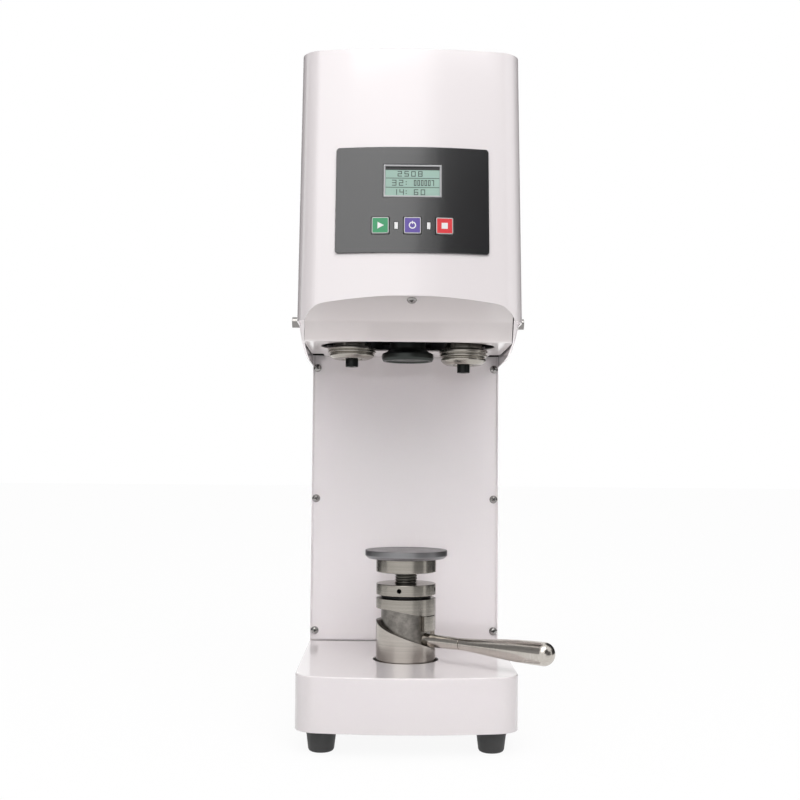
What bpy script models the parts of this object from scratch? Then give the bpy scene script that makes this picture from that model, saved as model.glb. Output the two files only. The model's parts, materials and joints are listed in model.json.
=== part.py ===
"""Bench-top seaming machine for cups and cans.

A can stands on the rest plate. The lever turns a cam sleeve that climbs a helical ramp and presses
the can against the chuck. The chuck spins the can while two rollers swing in and roll the lid's edge.

Metres, +Z up. The front of the machine faces -Y. The model is laid out round the spindle axis, and one
empty moves it so that the scene's origin is under the middle of the whole machine, on the floor.
"""
import math

import bmesh
import bpy
from mathutils import Matrix, Vector

# Facets round a turned piece: wide ones in view, others in view, small ones and hidden ones
WIDE_STEPS = 34
STEPS = 24
SMALL_STEPS = 12
HIDDEN_STEPS = 20

# Clearances
GAP = 0.0003
COVER_GAP = 0.0005
SCREW_CLEARANCE = 0.0003
ARM_CLEARANCE = 0.0017
PULLEY_CLEARANCE = 0.007
SHAFT_END = 0.003
EDGE_BREAK = 0.0008

# How far cutters reach past the pieces that they trim
TRIM = 0.02

# Stack of heights, from the floor up
FOOT_HEIGHT = 0.020
BASE_HEIGHT = 0.050
THROAT_HEIGHT = 0.305
HEAD_HEIGHT = 0.269

# Sheet and plate thicknesses
SHEET = 0.0012
BASE_SHEET = 0.0015
COLUMN_SHEET = 0.0015
BASE_PLATE = 0.003
SHELF_PLATE = 0.0027
HEAD_PLATE = 0.012
HEAD_PLATE_OVERHANG = 0.012
HEAD_PLATE_MARGIN = 0.004

# Outlines seen from above
HEAD_HALF_WIDTH = 0.1022
COLUMN_STEP = 0.0015
BASE_STEP = 0.0010
HEAD_REACH = 0.118
BASE_REACH = 0.104
COLUMN_FACE = 0.116
COLUMN_DEPTH = 0.120
BOW = 0.0108
CORNER_RADIUS = 0.023
FLANGE_WIDTH = 0.0167
TOP_RIM_RADIUS = 0.0018

# Head: lean of its face, folds of its under cover and the side walls below them
HEAD_LEAN = math.radians(8.0)
MOUTH_RISE = 0.034
FOLD_RISE = 0.016
FRONT_FOLD_Y = -0.071
REAR_FOLD_Y = -0.048
SIDE_DROP = 0.009
SIDE_CURVE_END = 0.050
SIDE_CURVE_BULGE_Y = -0.050
SIDE_CURVE_BULGE = 0.55
# Arch of the mouth in front view: distance in from the head's side and height above its flat underside
MOUTH_ARCH = ((-0.030, 0.0125), (0.0077, 0.0125), (0.0091, 0.0160), (0.0116, 0.0203), (0.0172, 0.0252),
              (0.0232, 0.0280), (0.0397, 0.0304), (0.0640, 0.0350))
LID_SKIRT = 0.012
OPENING_MARGIN = 0.0167
OPENING_HALF_DEPTH = 0.046
REAR_NOTCH_WIDTH = 0.0125
REAR_NOTCH_DEPTH = 0.036
UNDER_COVER_SIDE_GAP = 0.0009

# Feet
FOOT_RADIUS = 0.014
FOOT_TAPER = 0.0015
FOOT_STUD_RADIUS = 0.004
FOOT_INSET = 0.0242
FRONT_FOOT_INSET = 0.029
REAR_FOOT_INSET = 0.028

# Fasteners
COVER_SCREW_INSET = 0.005
COVER_SCREW_EDGE = 0.0106
COVER_SCREW_TOP_DROP = 0.0123
COVER_SCREW_HEAD_RADIUS = 0.00425
COVER_SCREW_HEAD = 0.0026
COVER_SCREW_RADIUS = 0.002
COVER_SCREW_LENGTH = 0.007
UNDER_SCREW_INSET = 0.0075
UNDER_SCREW_RADIUS = 0.0016
UNDER_SCREW_LENGTH = 0.004
UNDER_SCREW_HEAD_RADIUS = 0.0047
UNDER_SCREW_HEAD = 0.0023
SIDE_BOLT_Y = -0.010
SIDE_BOLT_RADIUS = 0.003
SIDE_BOLT_DEPTH = 0.014
SIDE_BOLT_NECK_RADIUS = 0.0035
SIDE_BOLT_NECK = 0.0033
SIDE_BOLT_HEAD_RADIUS = 0.00525
SIDE_BOLT_HEAD = 0.0075

# Control panel, in its own leaning frame
PANEL_X = 0.0015
PANEL_RISE = 0.1228
PANEL_WIDTH = 0.139
PANEL_HEIGHT = 0.1003
PANEL_THICKNESS = 0.0015
PANEL_CORNER = 0.003
DISPLAY_WIDTH = 0.0526
DISPLAY_HEIGHT = 0.0310
DISPLAY_RISE = 0.0176
DISPLAY_RECESS = 0.0009
KEY_SIZE = 0.0155
KEY_PITCH = 0.0288
KEY_DROP = 0.0251
KEY_PROUD = 0.0010
KEY_DEPTH = 0.0108
KEY_TRAVEL = 0.0008
KEY_CLEARANCE = 0.0005
INDICATOR_X = 0.0146
INDICATOR_WIDTH = 0.0032
INDICATOR_HEIGHT = 0.0064
BOARD_WIDTH = 0.112
BOARD_HEIGHT = 0.080
BOARD_THICKNESS = 0.0016
PANEL_WINDOW_MARGIN = 0.006
KEY_CORNER = 0.001
KEY_SWITCH_HALF = 0.003
KEY_SWITCH_RISE = 0.0012
INDICATOR_PROUD = 0.0002

# Spindle, chuck and rollers
CHUCK_RADIUS = 0.0255
CHUCK_STEM_RADIUS = 0.0177
CHUCK_DROP = 0.0147
CHUCK_RIM = 0.0073
CHUCK_CONE = 0.0052
CHUCK_RECESS = 0.0015
CHUCK_FACE_WIDTH = 0.0022
CHUCK_EDGE = 0.0010
CHUCK_FLOOR = 0.002
CHUCK_CLEARANCE = 0.0043
CHUCK_SPIGOT_RADIUS = 0.009
SPINDLE_RADIUS = 0.0127
HOUSING_RADIUS = 0.028
HOUSING_FLANGE_RADIUS = 0.042
HOUSING_FLANGE = 0.008
HOUSING_HEIGHT = 0.024
BEARING_RADIUS = 0.022
BEARING_WIDTH = 0.012
ROLLER_X = 0.055
ROLLER_RADIUS = 0.02385
ROLLER_RISE = 0.003
LEFT_ROLLER_HEIGHT = 0.016
RIGHT_ROLLER_HEIGHT = 0.021
ROLLER_BOLT_RADIUS = 0.004
ROLLER_BOLT_HEAD_RADIUS = 0.00625
ROLLER_BOLT_HEAD = 0.0075
ROLLER_RECESS = 0.002
ROLLER_RECESS_MARGIN = 0.003
ROLLER_COLLAR = 0.0055
ROLLER_NECK = 0.0018
ROLLER_FLANK = 0.0058
ROLLER_GROOVE = 0.0029
ROLLER_SHOULDER = 0.0019
BOLT_SOCKET_RADIUS = 0.003
BOLT_SOCKET_DEPTH = 0.0035
BOLT_END_CLEARANCE = 0.0004

# Roller arms and the crank that swings them
ARM_THICKNESS = 0.011
ARM_PIVOT_X = 0.062
ARM_PIVOT_Y = 0.046
ARM_PIVOT_RADIUS = 0.006
ARM_PIVOT_HEAD_RADIUS = 0.009
ARM_PIVOT_HEAD = 0.0013
ARM_STEP_X = 0.026
ARM_EYE = 0.012
ARM_BOSS = 0.014
ARM_NECK = 0.038
ARM_CORNER = 0.006
ARM_TAIL_REACH = 0.0105
ARM_TAIL_HALF = 0.018
ARM_RELIEF = 0.070
CRANK_PIN_Y = 0.084
CRANK_THROW = 0.0083
CRANK_RADIUS = 0.014
CRANK_PIN_RADIUS = 0.004
CRANK_SLOT_CLEARANCE = 0.0007
CRANK_SLOT_TRAVEL = 0.0075
CRANK_STUB_RADIUS = 0.005
CRANK_STUB = 0.0045
CRANK_MOTOR_RADIUS = 0.018
CRANK_MOTOR_HEIGHT = 0.058
CRANK_GEARBOX = 0.024

# Belt drive and motor
SPINDLE_PULLEY_RADIUS = 0.040
MOTOR_PULLEY_RADIUS = 0.020
PULLEY_WIDTH = 0.018
PULLEY_LIP = 0.0035
PULLEY_LIP_WIDTH = 0.0018
BELT_THICKNESS = 0.0022
PULLEY_JOURNAL_RADIUS = 0.010
MOTOR_SHAFT_RADIUS = 0.007
MOTOR_RADIUS = 0.046
MOTOR_OFFSET = 0.001
MOTOR_BELL = 0.020
MOTOR_WAIST = 0.003
MOTOR_LENGTH = 0.125
SHAFT_HOLE_RADIUS = 0.014

# Lift: ramp sleeve, cam sleeve, rod and rest plate
SLEEVE_RADIUS = 0.029
PLUNGER_RADIUS = 0.024
SLEEVE_FLANGE_RADIUS = 0.042
SLEEVE_FLANGE = 0.005
BASE_HOLE_RADIUS = 0.0318
RAMP_LOW_RISE = 0.0098
RAMP_PER_DEGREE = 0.000175
RAMP_START = -87.0
RAMP_END = 74.0
WELL_END = 100.0
CAM_TOP_RISE = 0.0594
CAM_SKIRT = 0.0094
CAM_SKIRT_SLANT = 0.006
CAM_FOOT_RISE = 0.014
CAM_SLANT_START = -32.0
BLOCK_MARGIN = 0.6
BLOCK_START = 36.6
BLOCK_END = 95.0
BLOCK_HEIGHT = 0.0149
ROD_RADIUS = 0.011
ROD_FOOT_RISE = 0.022
THREAD_SHOWN = 0.011
WASHER_HEIGHT = 0.0027
NUT_HEIGHT = 0.0108
TOMMY_HOLE_RADIUS = 0.00225
TOMMY_HOLE_DEPTH = 0.011
TOMMY_HOLE_ANGLE = -14.0
COLLAR_RADIUS = 0.02925
COLLAR_HEIGHT = 0.0129
COLLAR_WEB = 0.002
PLATE_SPIGOT_RADIUS = 0.008
PLATE_SPIGOT = 0.0065
PLATE_RADIUS = 0.040
PLATE_HEIGHT = 0.008
PLATE_CHAMFER = 0.0025

# Lever
LEVER_ANGLE = 52.6
LEVER_RADIUS = 0.00615
LEVER_NECK_RADIUS = 0.0055
LEVER_ROOT = 0.0135
LEVER_COLLAR = 0.004
LEVER_SHOULDER = 0.060
LEVER_SPIGOT_RADIUS = 0.0035
LEVER_SPIGOT = 0.015
GRIP_LENGTH = 0.1045
GRIP_END_RADIUS = 0.010

# Power inlet and switch in the back cover
INLET_X = 0.045
INLET_RISE = 0.045
INLET_WIDTH = 0.027
INLET_HEIGHT = 0.047
INLET_FLANGE = 0.002
INLET_DEPTH = 0.024
INLET_LIP = 0.003
SOCKET_WIDTH = 0.0225
SOCKET_HEIGHT = 0.0165
SOCKET_DEPTH = 0.016
SOCKET_DROP = 0.0115
PIN_WIDTH = 0.002
PIN_HEIGHT = 0.0045
PIN_PITCH = 0.007
PIN_STAGGER = 0.002
PIN_TIP = 0.0012
INLET_CORNER = 0.003
ROCKER_WIDTH = 0.013
ROCKER_HALF_HEIGHT = 0.0092
ROCKER_RISE = 0.0105
ROCKER_TIP = 0.0052
ROCKER_WAIST = 0.0036
ROCKER_BACK = 0.004
ROCKER_TAPER = 0.87
ROCKER_PIVOT_DEPTH = 0.0045
ROCKER_WELL_DEPTH = 0.0085
ROCKER_WELL_MARGIN = 0.0017
ROCKER_TILT = math.radians(10.0)
LOUVRE_COUNT = 9
LOUVRE_WIDTH = 0.110
LOUVRE_HEIGHT = 0.005
LOUVRE_PITCH = 0.012
LOUVRE_RISE = 0.150

# Levels and places worked out from the sizes above
base_top = FOOT_HEIGHT + BASE_HEIGHT
under_z = base_top + THROAT_HEIGHT
head_top = under_z + HEAD_HEIGHT
back_y = COLUMN_FACE + COLUMN_DEPTH
frame_back = back_y - SHEET - GAP
plate_floor = FOOT_HEIGHT + GAP
plate_top = plate_floor + BASE_PLATE
roller_top = under_z + ROLLER_RISE
arm_bottom = roller_top + GAP
arm_top = arm_bottom + ARM_THICKNESS
arm_middle = arm_bottom + ARM_THICKNESS / 2
head_plate_bottom = arm_top + ARM_CLEARANCE
head_plate_top = head_plate_bottom + HEAD_PLATE
shelf_top = head_plate_bottom - GAP
shelf_bottom = shelf_top - SHELF_PLATE
mouth_slope = (FOLD_RISE - MOUTH_RISE) / (FRONT_FOLD_Y + HEAD_REACH)
column_half = HEAD_HALF_WIDTH - COLUMN_STEP
base_half = HEAD_HALF_WIDTH - BASE_STEP
opening_half = HEAD_HALF_WIDTH - OPENING_MARGIN
foot_x = base_half - FOOT_INSET
front_foot_y = FRONT_FOOT_INSET - BASE_REACH
cover_screw_x = column_half - COVER_SCREW_INSET
head_inner = HEAD_HALF_WIDTH - SHEET
column_inner = column_half - COLUMN_SHEET
motor_y = COLUMN_FACE + COLUMN_DEPTH / 2 + MOTOR_OFFSET
pulley_bottom = head_plate_top + GAP + HOUSING_HEIGHT + PULLEY_CLEARANCE
pulley_top = pulley_bottom + PULLEY_WIDTH
ramp_low = base_top + RAMP_LOW_RISE
ramp_high = ramp_low + RAMP_PER_DEGREE * (RAMP_END - RAMP_START)
cam_top = base_top + CAM_TOP_RISE
cam_skirt_low = cam_top - CAM_SKIRT - CAM_SKIRT_SLANT
washer_top = cam_top + GAP + WASHER_HEIGHT
nut_bottom = washer_top + GAP
nut_top = nut_bottom + NUT_HEIGHT
collar_bottom = nut_top + THREAD_SHOWN
collar_top = collar_bottom + COLLAR_HEIGHT
ramp_slope = RAMP_PER_DEGREE * math.degrees(1.0) / PLUNGER_RADIUS
lever_z = (ramp_low + RAMP_PER_DEGREE * (RAMP_END - LEVER_ANGLE)
           + LEVER_RADIUS * math.hypot(1.0, ramp_slope) + GAP)
lever_yaw = math.radians(LEVER_ANGLE - 90.0)
grip_end = LEVER_SHOULDER + GRIP_LENGTH
machine_right = (grip_end - GRIP_END_RADIUS) * math.cos(lever_yaw) + GRIP_END_RADIUS
machine_left = HEAD_HALF_WIDTH + GAP + SIDE_BOLT_NECK + SIDE_BOLT_HEAD
machine_back = back_y + INLET_FLANGE + GAP
rocker_reach = (math.cos(ROCKER_TILT) * ROCKER_TIP + math.sin(ROCKER_TILT) * ROCKER_HALF_HEIGHT
                - ROCKER_PIVOT_DEPTH)

ALONG_X = Matrix(((0, 0, 1, 0), (1, 0, 0, 0), (0, 1, 0, 0), (0, 0, 0, 1)))
ALONG_Y = Matrix(((1, 0, 0, 0), (0, 0, -1, 0), (0, 1, 0, 0), (0, 0, 0, 1)))


def clear_scene():
    """Remove every object that the scene holds."""
    for obj in list(bpy.data.objects):
        bpy.data.objects.remove(obj, do_unlink=True)


def collection(name):
    """Return a new collection under the scene's own."""
    group = bpy.data.collections.new(name)
    bpy.context.scene.collection.children.link(group)
    return group


def material(name, colour, metallic, roughness):
    """Return a Principled material."""
    mat = bpy.data.materials.new(name)
    mat.use_nodes = True
    shader = mat.node_tree.nodes["Principled BSDF"]
    shader.inputs["Base Color"].default_value = (*colour, 1.0)
    shader.inputs["Metallic"].default_value = metallic
    shader.inputs["Roughness"].default_value = roughness
    return mat


def empty(name, location, parent=None, rotation=(0, 0, 0)):
    """Return an empty that marks a frame or an axis."""
    obj = bpy.data.objects.new(name, None)
    obj.empty_display_size = 0.02
    obj.location = location
    obj.rotation_euler = rotation
    obj.parent = parent
    PARTS.objects.link(obj)
    return obj


def add_object(name, mesh, mat, parent, location=(0, 0, 0), rotation=(0, 0, 0)):
    """Put a mesh in the scene as a part, or as a cutter where it has no material."""
    obj = bpy.data.objects.new(name, mesh)
    obj.location = location
    obj.rotation_euler = rotation
    obj.parent = parent
    if mat is None:
        obj.hide_render = True
        obj.display_type = "WIRE"
        CUTTERS.objects.link(obj)
    else:
        mesh.materials.append(mat)
        PARTS.objects.link(obj)
    return obj


def boolean(obj, cutter, operation="DIFFERENCE"):
    """Add an exact Boolean modifier."""
    modifier = obj.modifiers.new(cutter.name, "BOOLEAN")
    modifier.operation = operation
    modifier.solver = "EXACT"
    modifier.object = cutter


def solidify(obj, thickness, offset):
    """Give an open surface its wall."""
    modifier = obj.modifiers.new("Wall", "SOLIDIFY")
    modifier.thickness = thickness
    modifier.offset = offset
    modifier.use_even_offset = True


def turned(name, profile, mat, parent, steps=STEPS, ring=False, location=(0, 0, 0), rotation=(0, 0, 0)):
    """Turn (radius, height) points about Z. A ring's profile closes on itself."""
    mesh = bpy.data.meshes.new(name)
    count = len(profile)
    edges = [(i, i + 1) for i in range(count - 1)]
    if ring:
        edges.append((count - 1, 0))
    mesh.from_pydata([(r, 0.0, z) for r, z in profile], edges, [])
    obj = add_object(name, mesh, mat, parent, location, rotation)
    screw = obj.modifiers.new("Turn", "SCREW")
    screw.axis = "Z"
    screw.angle = math.tau
    screw.steps = steps
    screw.render_steps = steps
    screw.use_merge_vertices = True
    screw.merge_threshold = 0.00001
    screw.use_smooth_shade = True
    return obj


def plate(name, loops, low, high, mat, parent, matrix=Matrix(), location=(0, 0, 0), rotation=(0, 0, 0)):
    """Extrude flat outlines from low to high. Inner loops are holes."""
    curve = bpy.data.curves.new(name, "CURVE")
    curve.dimensions = "2D"
    curve.fill_mode = "BOTH"
    curve.extrude = (high - low) / 2
    for loop in loops:
        spline = curve.splines.new("POLY")
        spline.points.add(len(loop) - 1)
        for point, (x, y) in zip(spline.points, loop):
            point.co = (x, y, 0.0, 1.0)
        spline.use_cyclic_u = True
    outline = bpy.data.objects.new(name, curve)
    bpy.context.scene.collection.objects.link(outline)
    bpy.context.view_layer.update()
    evaluated = outline.evaluated_get(bpy.context.evaluated_depsgraph_get())
    mesh = bpy.data.meshes.new_from_object(evaluated)
    bpy.data.objects.remove(outline, do_unlink=True)
    mesh.transform(matrix @ Matrix.Translation((0, 0, (low + high) / 2)))
    shape = bmesh.new()
    shape.from_mesh(mesh)
    bmesh.ops.remove_doubles(shape, verts=shape.verts, dist=0.000001)
    bmesh.ops.recalc_face_normals(shape, faces=shape.faces)
    shape.to_mesh(mesh)
    shape.free()
    mesh.name = name
    return add_object(name, mesh, mat, parent, location, rotation)


def box(name, low, high, mat, parent, bevel=0.0, location=(0, 0, 0), rotation=(0, 0, 0)):
    """Make a box between two corners, with its edges rounded where bevel is set."""
    low, high = Vector(low), Vector(high)
    shape = bmesh.new()
    bmesh.ops.create_cube(shape, size=1.0)
    size = high - low
    bmesh.ops.scale(shape, vec=size, verts=shape.verts)
    bmesh.ops.translate(shape, vec=(low + high) / 2, verts=shape.verts)
    if bevel:
        bmesh.ops.bevel(shape, geom=shape.edges, offset=bevel, segments=2, profile=0.5, affect="EDGES")
    mesh = bpy.data.meshes.new(name)
    shape.to_mesh(mesh)
    shape.free()
    return add_object(name, mesh, mat, parent, location, rotation)


def circle(x, y, radius, count=HIDDEN_STEPS):
    """Points of a circle."""
    steps = [math.tau * i / count for i in range(count)]
    return [(x + radius * math.cos(a), y + radius * math.sin(a)) for a in steps]


def rectangle(x0, y0, x1, y1):
    """Corners of a rectangle."""
    return [(x0, y0), (x1, y0), (x1, y1), (x0, y1)]


def rounded(corners, count=4):
    """Round the corners (x, y, radius) of an outline with arcs."""
    points = []
    total = len(corners)
    for i, (x, y, radius) in enumerate(corners):
        here = Vector((x, y))
        before = (Vector(corners[i - 1][:2]) - here).normalized()
        after = (Vector(corners[(i + 1) % total][:2]) - here).normalized()
        if radius == 0.0:
            points.append((x, y))
            continue
        half = before.angle(after) / 2
        centre = here + (before + after).normalized() * radius / math.sin(half)
        first = here + before * radius / math.tan(half) - centre
        last = here + after * radius / math.tan(half) - centre
        sweep = first.angle_signed(last)
        for k in range(count + 1):
            turn = -sweep * k / count
            points.append((centre.x + first.x * math.cos(turn) - first.y * math.sin(turn),
                           centre.y + first.x * math.sin(turn) + first.y * math.cos(turn)))
    return points


def rounded_rectangle(x0, y0, x1, y1, radius, count=3):
    """Rectangle with round corners."""
    return rounded([(x0, y0, radius), (x1, y0, radius), (x1, y1, radius), (x0, y1, radius)], count)


def stadium(half_length, half_width, count=12):
    """Slot outline along X with round ends."""
    straight = half_length - half_width
    right = [(straight + half_width * math.sin(a), -half_width * math.cos(a))
             for a in (math.pi * i / count for i in range(count + 1))]
    return right + [(-x, -y) for x, y in right]


def bow_radius(half_width):
    """Radius of the bowed front of a body."""
    return (half_width ** 2 + BOW ** 2) / (2 * BOW)


def front_outline(half_width, reach, inset, back, corner_count=5, bow_count=8):
    """Open outline of a body seen from above: side, corner, bowed front, corner, side.

    It runs from the right rear to the left rear, pulled in by inset.
    """
    bow = bow_radius(half_width)
    centre_y = -reach + bow
    fillet_y = centre_y - math.sqrt((bow - CORNER_RADIUS) ** 2 - (half_width - CORNER_RADIUS) ** 2)
    radius = CORNER_RADIUS - inset
    corner_x = half_width - CORNER_RADIUS
    turn = math.atan2(corner_x, centre_y - fillet_y)
    right = [(half_width - inset, back)]
    for i in range(corner_count + 1):
        angle = math.pi / 2 + (turn - math.pi / 2) * i / corner_count
        right.append((corner_x + radius * math.sin(angle), fillet_y - radius * math.cos(angle)))
    for i in range(1, bow_count):
        angle = turn * (1 - i / bow_count)
        right.append(((bow - inset) * math.sin(angle), centre_y - (bow - inset) * math.cos(angle)))
    left = [(-x, y) for x, y in reversed(right)]
    return right + [(0.0, -reach + inset)] + left


def lean_back(mesh, back):
    """Lean the front of a head-shaped mesh back with height. The rear edge stays."""
    for vert in mesh.vertices:
        if vert.co.y < back - 0.001:
            vert.co.y += math.tan(HEAD_LEAN) * (vert.co.z - under_z - MOUTH_RISE)


def wall(name, outline, low, high, mat, parent):
    """Upright open surface along an outline."""
    shape = bmesh.new()
    verts = [shape.verts.new((x, y, low)) for x, y in outline]
    edges = [shape.edges.new(pair) for pair in zip(verts, verts[1:])]
    raised = bmesh.ops.extrude_edge_only(shape, edges=edges)["geom"]
    top = [item for item in raised if isinstance(item, bmesh.types.BMVert)]
    bmesh.ops.translate(shape, vec=(0, 0, high - low), verts=top)
    mesh = bpy.data.meshes.new(name)
    shape.to_mesh(mesh)
    shape.free()
    return add_object(name, mesh, mat, parent)


def loft_round(name, angles, section, mat, parent):
    """Close a ring whose (radius, height) section changes with the angle from the front."""
    shape = bmesh.new()
    rings = []
    for degrees in angles:
        turn = math.radians(degrees)
        rings.append([shape.verts.new((r * math.sin(turn), -r * math.cos(turn), z))
                      for r, z in section(degrees)])
    for ring, following in zip(rings, rings[1:] + rings[:1]):
        for i, vert in enumerate(ring):
            beside = (i + 1) % len(ring)
            shape.faces.new((vert, following[i], following[beside], ring[beside]))
    bmesh.ops.recalc_face_normals(shape, faces=shape.faces)
    mesh = bpy.data.meshes.new(name)
    shape.to_mesh(mesh)
    shape.free()
    return add_object(name, mesh, mat, parent)


def spread(start, end, step):
    """Angles from start to end, at most step apart, without the end."""
    count = max(1, math.ceil((end - start) / step))
    return [start + (end - start) * i / count for i in range(count)]


def build_feet():
    """Four rubber feet, each with a stud through the base plate."""
    rear_y = back_y - REAR_FOOT_INSET
    low = FOOT_RADIUS - FOOT_TAPER
    profile = [(0, plate_top), (FOOT_STUD_RADIUS, plate_top), (FOOT_STUD_RADIUS, FOOT_HEIGHT),
               (FOOT_RADIUS, FOOT_HEIGHT), (low, 0.001), (low - 0.001, 0), (0, 0)]
    places = {"foot_front_left": (-foot_x, front_foot_y), "foot_front_right": (foot_x, front_foot_y),
              "foot_rear_left": (-foot_x, rear_y), "foot_rear_right": (foot_x, rear_y)}
    for name, (x, y) in places.items():
        turned(name, profile, RUBBER, MACHINE, steps=HIDDEN_STEPS, location=(x, y, 0))
    return [circle(x, y, FOOT_STUD_RADIUS + GAP, SMALL_STEPS)
            for x in (-foot_x, foot_x) for y in (front_foot_y, rear_y)]


def build_base(stud_holes):
    """Steel base plate and the painted cover over its front half."""
    inset = base_half - column_inner + GAP
    outline = front_outline(base_half, BASE_REACH, inset, frame_back, 4, 6)
    plate("base_plate", [outline] + stud_holes, plate_floor, plate_top, STEEL_DARK, MACHINE)

    back = COLUMN_FACE - GAP
    path = front_outline(base_half, BASE_REACH, 0.0, back)
    shape = bmesh.new()
    top = shape.faces.new([shape.verts.new((x, y, base_top)) for x, y in path])
    rear = [e for e in top.edges if all(v.co.y > back - 0.0001 for v in e.verts)][0]
    rim = [e for e in top.edges if e is not rear]
    lowered = bmesh.ops.extrude_edge_only(shape, edges=rim)["geom"]
    bmesh.ops.translate(shape, vec=(0, 0, plate_floor - base_top),
                        verts=[item for item in lowered if isinstance(item, bmesh.types.BMVert)])
    bmesh.ops.recalc_face_normals(shape, faces=shape.faces)
    if top.normal.z < 0:
        bmesh.ops.reverse_faces(shape, faces=shape.faces)
    bmesh.ops.bevel(shape, geom=rim, offset=TOP_RIM_RADIUS, segments=3, profile=0.5, affect="EDGES")
    mesh = bpy.data.meshes.new("base_cover")
    shape.to_mesh(mesh)
    shape.free()
    cover = add_object("base_cover", mesh, PAINT, MACHINE)
    solidify(cover, BASE_SHEET, -1.0)
    hole = turned("base_hole", [(0, base_top + TRIM), (BASE_HOLE_RADIUS, base_top + TRIM),
                                (BASE_HOLE_RADIUS, base_top - TRIM), (0, base_top - TRIM)],
                  None, MACHINE, steps=WIDE_STEPS)
    boolean(cover, hole)


def screw_heights():
    """Heights of the three rows of cover screws."""
    low = base_top + COVER_SCREW_EDGE
    high = under_z - COVER_SCREW_TOP_DROP
    return low, (low + high) / 2, high


def build_column():
    """Folded column frame with its shelf, its front cover and the cover's six screws."""
    hole_radius = COVER_SCREW_RADIUS + SCREW_CLEARANCE
    flange_edge = column_half - FLANGE_WIDTH
    flange_face = COLUMN_FACE + SHEET + GAP
    flange_back = flange_face + COLUMN_SHEET
    channel = [(flange_edge, flange_face), (column_inner, flange_face), (column_inner, COLUMN_FACE),
               (column_half, COLUMN_FACE), (column_half, frame_back), (flange_edge, frame_back),
               (flange_edge, frame_back - COLUMN_SHEET), (column_inner, frame_back - COLUMN_SHEET),
               (column_inner, flange_back), (flange_edge, flange_back)]
    mirrored = [(-x, y) for x, y in reversed(channel)]
    side_low = plate_top + GAP
    side_top = head_top - LID_SKIRT - GAP
    frame = plate("column_frame", [channel], side_low, side_top, PAINT, MACHINE)
    left = plate("column_left_wall", [mirrored], side_low, side_top, None, MACHINE)
    half = COLUMN_SHEET / 2
    reach = (column_half - half, flange_face + half, frame_back - half)
    shelf_outline = rectangle(-reach[0], reach[1], reach[0], reach[2])
    shelf = plate("column_shelf", [shelf_outline, circle(0, motor_y, SHAFT_HOLE_RADIUS)],
                  shelf_bottom, shelf_top, None, MACHINE)
    web = plate("column_web", [shelf_outline], side_low, side_low + COLUMN_SHEET, None, MACHINE)
    boolean(frame, left, "UNION")
    boolean(frame, shelf, "UNION")
    boolean(frame, web, "UNION")

    places = [(x, z) for z in screw_heights() for x in (-cover_screw_x, cover_screw_x)]
    holes = [circle(x, z, hole_radius, 8) for x, z in places]
    drill = plate("column_screw_holes", holes, -flange_back - 0.001, -flange_face + 0.0005,
                  None, MACHINE, ALONG_Y)
    boolean(frame, drill)
    cover_half = column_inner - COVER_GAP
    cover = rectangle(-cover_half, base_top + COVER_GAP, cover_half, shelf_bottom - GAP)
    plate("column_front_cover", [cover] + holes, -COLUMN_FACE - SHEET, -COLUMN_FACE, PAINT, MACHINE,
          ALONG_Y)

    head = COVER_SCREW_HEAD
    wide = COVER_SCREW_HEAD_RADIUS
    profile = [(0, head), (wide * 0.75, head * 0.75), (wide, 0),
               (COVER_SCREW_RADIUS, 0), (COVER_SCREW_RADIUS, -COVER_SCREW_LENGTH), (0, -COVER_SCREW_LENGTH)]
    for number, (x, z) in enumerate(places, 1):
        turned(f"cover_screw_{number}", profile, STAINLESS, MACHINE, steps=SMALL_STEPS,
               location=(x, COLUMN_FACE - GAP, z), rotation=(math.pi / 2, 0, 0))


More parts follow.
